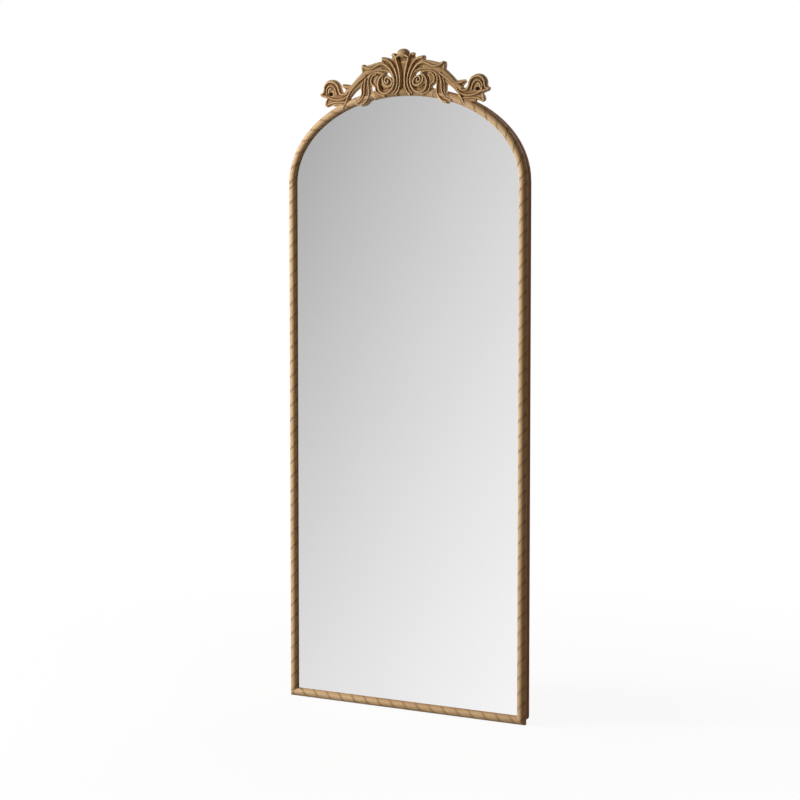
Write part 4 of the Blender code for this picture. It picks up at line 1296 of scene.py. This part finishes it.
@dataclass
class ScrewSet:
    """Countersunk cross-recess screws of one size, modelled once and copied."""

    name: str
    nodes: tuple
    sides: int = 28
    slot_width: float = 0.26
    slot_reach: float = 0.62
    slot_depth: float = 0.55
    blade_taper: float = 0.45
    # The rim's height and the countersink's depth in radii of the head, the shank's share
    rim: float = 0.08
    throat: float = 0.5
    shank: float = 0.5
    # Where the point starts, as a share of the length, and what its end keeps of the shank
    point: float = 0.85
    tip: float = 0.12
    # The angle that the first screw stops at, and the turn to each next one
    first_turn: float = 0.37
    next_turn: float = 2.4

    def model(self, radius: float, length: float) -> bpy.types.Object:
        """Return one screw with its face at the origin, pointing towards -Y.

        Args:
            radius: The head's radius in metres.
            length: The screw's whole length in metres.

        Returns:
            The screw.
        """
        bpy.ops.mesh.primitive_circle_add(vertices=self.sides, radius=radius, fill_type="NGON",
                                          rotation=(-pi / 2, 0, 0))
        screw = take_new(self.name)
        bpy.ops.object.transform_apply(location=False, rotation=True, scale=False)
        bpy.ops.object.mode_set(mode="EDIT")
        bpy.ops.mesh.select_all(action="SELECT")
        rim = self.rim * radius
        throat = self.throat * radius
        point = self.point * length
        for drop, share in ((rim, 1.0), (throat - rim, self.shank), (point - throat, 1.0),
                            (length - point, self.tip)):
            bpy.ops.mesh.extrude_region_move(TRANSFORM_OT_translate={"value": (0, -drop, 0)})
            bpy.ops.transform.resize(value=(share, 1, share), center_override=(0, 0, 0))
        leave_edit()
        face_out(screw, FINE)
        self.cut_recess(screw, radius)
        return screw

    def cut_recess(self, screw: bpy.types.Object, radius: float) -> None:
        """Sink the driver's cross into the head.

        Args:
            screw: The screw, its face at the origin.
            radius: The head's radius in metres.
        """
        for turn in (0.0, pi / 2):
            bpy.ops.mesh.primitive_cube_add(size=1.0, rotation=(0, turn, 0))
            blade = take_new("driver_blade")
            blade.scale = (2 * radius * self.slot_reach, 2 * radius * self.slot_depth,
                           radius * self.slot_width)
            bpy.ops.object.transform_apply(location=False, rotation=True, scale=True)
            select_vertices(blade, lambda co: co.y < 0)
            bpy.ops.transform.resize(value=(self.blade_taper, 1, self.blade_taper),
                                     center_override=(0, 0, 0))
            leave_edit()
            apply_modifier(screw, "BOOLEAN", object=blade, operation="DIFFERENCE", solver="EXACT")
            bpy.data.objects.remove(blade, do_unlink=True)

    def build(self, material: bpy.types.Material) -> list:
        """Model the screw at the first node's size and copy it to every node.

        Args:
            material: The finish.

        Returns:
            The screws.
        """
        low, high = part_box(self.nodes[0])
        screw = self.model((high.x - low.x) / 2, high.y - low.y)
        dress(screw, material, angle=35.0)
        made = []
        for node in self.nodes:
            low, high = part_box(node)
            piece = screw.copy()
            piece.data = screw.data.copy()
            bpy.context.scene.collection.objects.link(piece)
            piece.name = "turned_" + node
            # Nobody lines the slots up, so each screw stops at its own angle.
            turn = Matrix.Rotation(self.first_turn + self.next_turn * len(made), 4, "Y")
            place = Matrix.Translation(((low.x + high.x) / 2, high.y, (low.z + high.z) / 2))
            set_in_place(piece, place @ turn)
            stand_for(piece, Slot.STEEL, ROOT_BODY, node)
            made.append(piece)
        bpy.data.objects.remove(screw, do_unlink=True)
        return made


@dataclass
class HangerRing:
    """The wire ring that swings in a strap hanger's eye."""

    side: Side
    wire_radius: float = 0.0015
    corner: float = 0.003
    steps: int = 10

    def bend(self, middle: tuple, radius: float, start: float, end: float) -> list:
        """Return the points of one bend of the wire.

        Args:
            middle: The bend's middle as (x, z).
            radius: Its radius in metres.
            start: The angle that it starts at.
            end: The angle that it ends at.

        Returns:
            The points as (x, z), with as many to each right angle as steps says.
        """
        count = round(abs(end - start) / (pi / 2)) * self.steps
        turns = [start + (end - start) * index / count for index in range(count + 1)]
        return [(middle[0] + radius * cos(turn), middle[1] + radius * sin(turn)) for turn in turns]

    def build(self, material: bpy.types.Material) -> bpy.types.Object:
        """Bend the wire to the outline of the node's box and close it.

        Args:
            material: The finish.

        Returns:
            The ring.
        """
        name = self.side.name.lower()
        low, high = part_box("hanger_ring_" + name)
        wire, corner = self.wire_radius, self.corner
        left, right = low.x + wire, high.x - wire
        top, bottom = high.z - wire, low.z + wire
        half = (right - left) / 2
        points = self.bend((right - corner, top - corner), corner, pi / 2, 0.0)
        points += self.bend(((left + right) / 2, bottom + half), half, 0.0, -pi)
        points += self.bend((left + corner, top - corner), corner, pi, pi / 2)
        ring = turn_to_mesh(draw_curve("wire_ring_" + name, [points], dimensions="3D",
                                       fill_mode="FULL", bevel_depth=wire, bevel_resolution=4))
        set_in_place(ring, Matrix.Translation((0, (low.y + high.y) / 2, 0)) @ STAND_UP)
        face_out(ring, FINE)
        dress(ring, material, angle=60.0)
        stand_for(ring, Slot.STEEL, "ring_" + name, "hanger_ring_" + name)
        return ring


@dataclass
class WallBumper:
    """A moulded rubber bumper with a sunk well for its screw."""

    node: str
    face_radius: float = 0.0075
    well_radius: float = 0.0038
    floor: float = 0.0030
    edge: float = 0.0010
    # How far its sides lean at the top, and how far its corners are eased
    lean: float = 0.00012
    ease: float = 0.0003
    foot_ease: float = 0.0004
    well_ease: float = 0.0006
    spin_steps: int = 40

    def build(self, material: bpy.types.Material) -> bpy.types.Object:
        """Spin the bumper's half section about its axis.

        Args:
            material: The finish.

        Returns:
            The bumper.
        """
        low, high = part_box(self.node)
        radius = (high.x - low.x) / 2
        tall = high.y - low.y
        face, well = self.face_radius, self.well_radius
        outline = [(0.0, 0.0), (radius - self.foot_ease, 0.0), (radius, self.foot_ease),
                   (face + self.lean, tall - self.edge), (face - self.ease, tall - self.ease),
                   (face - self.edge, tall), (well + self.well_ease, tall),
                   (well + self.lean, tall - self.ease), (well, tall - self.edge),
                   (well, self.floor), (0.0, self.floor)]
        mesh = bpy.data.meshes.new("bumper")
        piece = add_object("moulded_" + self.node, mesh)
        work = bmesh.new()
        row = [work.verts.new((across, up, 0)) for across, up in outline]
        for first, second in zip(row, row[1:]):
            work.edges.new((first, second))
        work.to_mesh(mesh)
        work.free()
        select_vertices(piece, lambda co: True)
        bpy.ops.mesh.spin(steps=self.spin_steps, angle=2 * pi, center=(0, 0, 0), axis=(0, 1, 0))
        leave_edit()
        face_out(piece)
        place = Matrix.Translation(((low.x + high.x) / 2, low.y, (low.z + high.z) / 2))
        set_in_place(piece, place)
        dress(piece, material, angle=30.0)
        stand_for(piece, Slot.RUBBER, ROOT_BODY, self.node)
        return piece


@dataclass
class BackArch:
    """The two sawn timber halves behind the arch, screwed to it from behind."""

    sizes: FrameSizes = SIZES
    width: float = 0.045
    thickness: float = 0.018
    arris: float = 0.0008
    steps: int = 72
    screw_count: int = 3
    countersink: float = 0.0003
    cone_sides: int = 28

    def build(self, material: bpy.types.Material) -> list:
        """Saw both halves, ease their arrises and sink their screws.

        Args:
            material: The finish.

        Returns:
            The two halves.
        """
        made = []
        for side in Side:
            name = side.name.lower()
            piece = self.saw("sawn_arch_" + name, side)
            apply_modifier(piece, "BEVEL", width=self.arris, segments=2, limit_method="ANGLE",
                           angle_limit=radians(60))
            for row in range(1, self.screw_count + 1):
                self.sink(piece, f"frame_screw_arch_{name}_{row}")
            face_out(piece, FINE)
            dress(piece, material, angle=35.0)
            stand_for(piece, Slot.TIMBER, ROOT_BODY, "back_arch_" + name)
            made.append(piece)
        return made

    def saw(self, name: str, side: Side) -> bpy.types.Object:
        """Return one half, cut square at the spring line and at the apex.

        Args:
            name: The piece's name.
            side: The half.

        Returns:
            The half, in its place.
        """
        size = self.sizes
        low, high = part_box("back_arch_" + side.name.lower())
        run = [index / self.steps * pi / 2 for index in range(self.steps + 1)]
        outer = [size.arch_point(turn, size.bead_half) for turn in run]
        inner = [size.arch_point(turn, size.bead_half - self.width) for turn in reversed(run)]
        apex = min(abs(low.x), abs(high.x))
        outline = [(side.value * max(x, apex), max(z, low.z)) for x, z in outer + inner]
        turn_to_mesh(draw_curve(name, [outline], dimensions="2D", fill_mode="BOTH",
                                extrude=self.thickness / 2))
        piece = take_new(name)
        set_in_place(piece, Matrix.Translation((0, -self.thickness / 2, 0)) @ STAND_UP)
        face_out(piece)
        return piece

    def sink(self, piece: bpy.types.Object, screw: str) -> None:
        """Open the countersink and the hole for one screw.

        Args:
            piece: The timber half.
            screw: The screw's node.
        """
        low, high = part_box(screw)
        radius = (high.x - low.x) / 2 + self.countersink
        middle = ((low.x + high.x) / 2, (low.z + high.z) / 2)
        bpy.ops.mesh.primitive_cone_add(vertices=self.cone_sides, radius1=radius,
                                        radius2=0.0, depth=radius,
                                        location=(middle[0], high.y - radius / 2, middle[1]),
                                        rotation=(pi / 2, 0, 0))
        cone = take_new("countersink")
        bpy.ops.object.transform_apply(location=True, rotation=True, scale=False)
        select_vertices(cone, lambda co: co.y > high.y - radius / 2)
        bpy.ops.mesh.extrude_region_move(TRANSFORM_OT_translate={"value": (0, radius, 0)})
        leave_edit()
        face_out(cone, FINE)
        apply_modifier(piece, "BOOLEAN", object=cone, operation="DIFFERENCE", solver="EXACT")
        bpy.data.objects.remove(cone, do_unlink=True)


def finish_nodes(material: bpy.types.Material, *names: str) -> None:
    """Give nodes that keep the solid model's shapes their finish.

    Args:
        material: The finish.
        names: The nodes.
    """
    for name in names:
        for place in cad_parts[name].material_slots:
            place.material = material
        LOG.info("%s keeps its solid, finished as %s", name, material.name)


@dataclass
class Studio:
    """Camera, lamps, surroundings and floor."""

    # Fitted to the frame's edges, with the lens and the sensor in millimetres
    camera_place: tuple = (2.6576, -4.9150, -0.0649)
    camera_yaw: float = 0.5003
    camera_pitch: float = 0.0646
    lens: float = 88.43
    sensor: float = 36.0
    rise: float = -0.05
    # The key lamp rakes the carving from the left, and a weaker one stands behind
    lamp_target: tuple = (0, 0, -0.5)
    key_place: tuple = (-3.9, -2.5, 0.7)
    key_size: float = 1.3
    key_power: float = 288.0
    back_place: tuple = (0.45, 4.6, 1.4)
    back_size: float = 2.0
    back_power: float = 70.0
    fill: float = 0.158
    fill_colour: str = "ffecd6"
    # The room in the glass darkens along this way, between these two places on it. Its grey
    # is a quadratic of the place.
    room_way: tuple = (0.91646, 0.0, -0.40012)
    room_ends: tuple = (-0.52, -0.16)
    room_quadratic: tuple = (-4.11, -0.706, 1.113)
    room_power: float = 1.035
    floor_z: float = SIZES.foot_z
    floor_radius: float = 9.0
    floor_sides: int = 96
    # The shade round the foot: where it starts to fade, where it ends, and its share
    shade_reach: tuple = (0.6, 2.2)
    shade_share: float = 0.08

    def set_camera(self) -> bpy.types.Object:
        """Place the camera that was fitted to the frame's edges.

        Returns:
            The camera.
        """
        yaw, pitch = self.camera_yaw, self.camera_pitch
        ahead = Vector((-sin(yaw) * cos(pitch), cos(yaw) * cos(pitch), -sin(pitch)))
        right = Vector((cos(yaw), sin(yaw), 0))
        up = right.cross(ahead)
        data = bpy.data.cameras.new("camera")
        data.sensor_width = self.sensor
        data.lens = self.lens
        data.shift_y = self.rise
        camera = add_object("camera", data)
        camera.matrix_world = Matrix.Translation(self.camera_place) @ Matrix(
            (right, up, -ahead)).transposed().to_4x4()
        bpy.context.scene.camera = camera
        return camera

    def hang_lamp(self, name: str, place: tuple, size: float, power: float) -> bpy.types.Object:
        """Hang a square soft lamp that faces the mirror.

        Args:
            name: The lamp's name.
            place: Where it hangs.
            size: The length of its side in metres.
            power: Its power in watts.

        Returns:
            The lamp.
        """
        data = bpy.data.lights.new(name, "AREA")
        data.shape = "SQUARE"
        data.size = size
        data.energy = power
        lamp = add_object(name, data)
        lamp.location = place
        way = Vector(self.lamp_target) - Vector(place)
        lamp.rotation_euler = way.to_track_quat("-Z", "Y").to_euler()
        return lamp

    def surround(self) -> None:
        """Set the world: white behind, an even fill, and the grey room that the glass shows."""
        world = bpy.data.worlds.new("studio")
        bpy.context.scene.world = world
        world.use_nodes = True
        tree = world.node_tree
        tree.nodes.clear()
        path = add_node(tree, "LightPath")
        look = add_node(tree, "TexCoord").outputs["Generated"]
        # The room darkens from the right and low towards the left and high.
        slope = add_node(tree, "VectorMath", {0: look, 1: self.room_way}, operation="DOT_PRODUCT")
        lowest, highest = self.room_ends
        held = add_node(tree, "Clamp", {"Value": slope.outputs["Value"], "Min": lowest,
                                        "Max": highest})
        square, line, level = self.room_quadratic
        first = add_node(tree, "Math", {0: held, 1: square, 2: line}, operation="MULTIPLY_ADD")
        grey = add_node(tree, "Math", {0: first, 1: held, 2: level}, operation="MULTIPLY_ADD")
        room = add_node(tree, "Background", {"Color": grey, "Strength": self.room_power})
        fill = add_node(tree, "Background", {"Color": linear(self.fill_colour),
                                             "Strength": self.fill})
        behind = add_node(tree, "Background", {"Color": linear("ffffff"), "Strength": 1.0})
        clear = add_node(tree, "Math", {0: path.outputs["Is Glossy Ray"],
                                        1: path.outputs["Is Transmission Ray"]},
                         operation="MAXIMUM")
        # The glass shows the room without throwing its light onto the bead beside it.
        direct = add_node(tree, "Math", {0: path.outputs["Diffuse Depth"], 1: 0.5},
                          operation="LESS_THAN")
        shown = add_node(tree, "Math", {0: clear, 1: direct}, operation="MULTIPLY")
        lit = add_node(tree, "MixShader", {0: shown, 1: fill, 2: room})
        seen = add_node(tree, "MixShader", {0: path.outputs["Is Camera Ray"], 1: lit, 2: behind})
        add_node(tree, "OutputWorld", {"Surface": seen})

    def lay_floor(self) -> bpy.types.Object:
        """Lay a white floor that keeps the frame's faint shadow near its foot.

        Returns:
            The floor.
        """
        bpy.ops.mesh.primitive_circle_add(vertices=self.floor_sides, radius=self.floor_radius,
                                          fill_type="NGON", location=(0, 0, self.floor_z))
        floor = take_new("floor")
        bpy.ops.object.transform_apply(location=True, rotation=False, scale=False)
        # White seamless paper: matt, lit to an even white, with a soft shade round the foot
        material, tree, shader = new_material("white_floor", 0.9, 0.0, 0.1)
        set_inputs(tree, shader, {"Base Color": linear("f4f4f4")})
        place = add_node(tree, "TexCoord").outputs["Object"]
        far = add_node(tree, "VectorMath", {0: place, 1: (0, 0, self.floor_z)},
                       operation="DISTANCE")
        start, end = self.shade_reach
        near = add_node(tree, "MapRange", {"Value": far.outputs["Value"], "From Min": start,
                                           "From Max": end, "To Min": self.shade_share,
                                           "To Max": 0.0})
        glow = add_node(tree, "Emission", {"Color": linear("ffffff"), "Strength": 1.0})
        blend = add_node(tree, "MixShader", {0: near, 1: glow, 2: shader})
        # The paper throws little light back up onto the frame.
        dull = add_node(tree, "BsdfDiffuse", {"Color": linear("7a7a7a")})
        path = add_node(tree, "LightPath")
        shown = add_node(tree, "MixShader", {0: path.outputs["Is Camera Ray"], 1: dull, 2: blend})
        set_inputs(tree, tree.nodes["Material Output"], {"Surface": shown})
        floor.data.materials.append(material)
        floor.visible_glossy = False
        return floor

    def build(self) -> None:
        """Set up the whole studio."""
        bpy.context.scene.view_settings.view_transform = "Standard"
        self.set_camera()
        self.surround()
        self.lay_floor()
        self.hang_lamp("key", self.key_place, self.key_size, self.key_power)
        self.hang_lamp("back", self.back_place, self.back_size, self.back_power)


def sides(*patterns: str) -> tuple:
    """Return node names with each {} filled by left and right in turn.

    Args:
        patterns: The patterns, in the order of the names.

    Returns:
        The node names.
    """
    return tuple(pattern.format(side.name.lower()) for pattern in patterns for side in Side)


def main() -> None:
    """Build every piece in order and stage the scene."""
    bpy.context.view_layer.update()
    moulding = AntiqueFinish("antiqued_moulding", wash="a87246", grain_scale=60.0,
                             along_uv=True).build()
    # The casting's darker hollow and paler rubbed colours add painted shade in its troughs and painted
    # highlights on its ridges.
    casting = AntiqueFinish("antiqued_casting", hollow_and_shade="23150a", rubbed="e8caa0").build()
    upright = TimberFinish("stained_softwood_upright", "a16c37", "815227", "5c371a",
                           Grain.UPRIGHT).build()
    across = TimberFinish("stained_softwood_across", "a16c37", "815227", "5c371a",
                          Grain.ACROSS).build()
    tenon = TimberFinish("beech_tenon", "b98f5e", "a07545", "70502c", Grain.UPRIGHT).build()
    zinc = ZincFinish("zinc_plated_steel").build()
    rubber = RubberFinish().build()
    finish_nodes(upright, *sides("back_stile_{}"))
    finish_nodes(across, "back_foot", "lower_rail", "hanging_rail")
    finish_nodes(tenon, *sides("loose_tenon_{}"), "loose_tenon_top")
    finish_nodes(rubber, *sides("setting_block_{}"))
    finish_nodes(zinc, *sides("hanger_strap_{}"))
    finish_nodes(BoardFinish().build(), "backing_board")
    finish_nodes(SilveredGlass().build(), "mirror_glass")
    RibbonMoulding().build(moulding)
    ScrollCrest(CREST_STROKES, CREST_GROUND, CREST_OPENINGS, CREST_FIELDS,
                CREST_POCKETS).build(casting)
    BackArch().build(across)
    side_screws = sides(*(f"frame_screw_side_{{}}_{row}" for row in range(1, 5)))
    arch_screws = sides(*(f"frame_screw_arch_{{}}_{row}" for row in range(1, 4)))
    foot_screws = sides("frame_screw_foot_{}")
    ScrewSet("frame_screw", side_screws + arch_screws + foot_screws).build(zinc)
    ScrewSet("crest_screw", sides("crest_screw_inner_{}", "crest_screw_outer_{}")).build(zinc)
    ScrewSet("hardware_screw", sides("hanger_screw_upper_{}", "hanger_screw_lower_{}",
                                     "bumper_screw_top_{}", "bumper_screw_bottom_{}")).build(zinc)
    for side in Side:
        HangerRing(side).build(zinc)
    for node in sides("bumper_top_{}", "bumper_bottom_{}"):
        WallBumper(node).build(rubber)
    Studio().build()


if __name__ == "__main__":
    main()
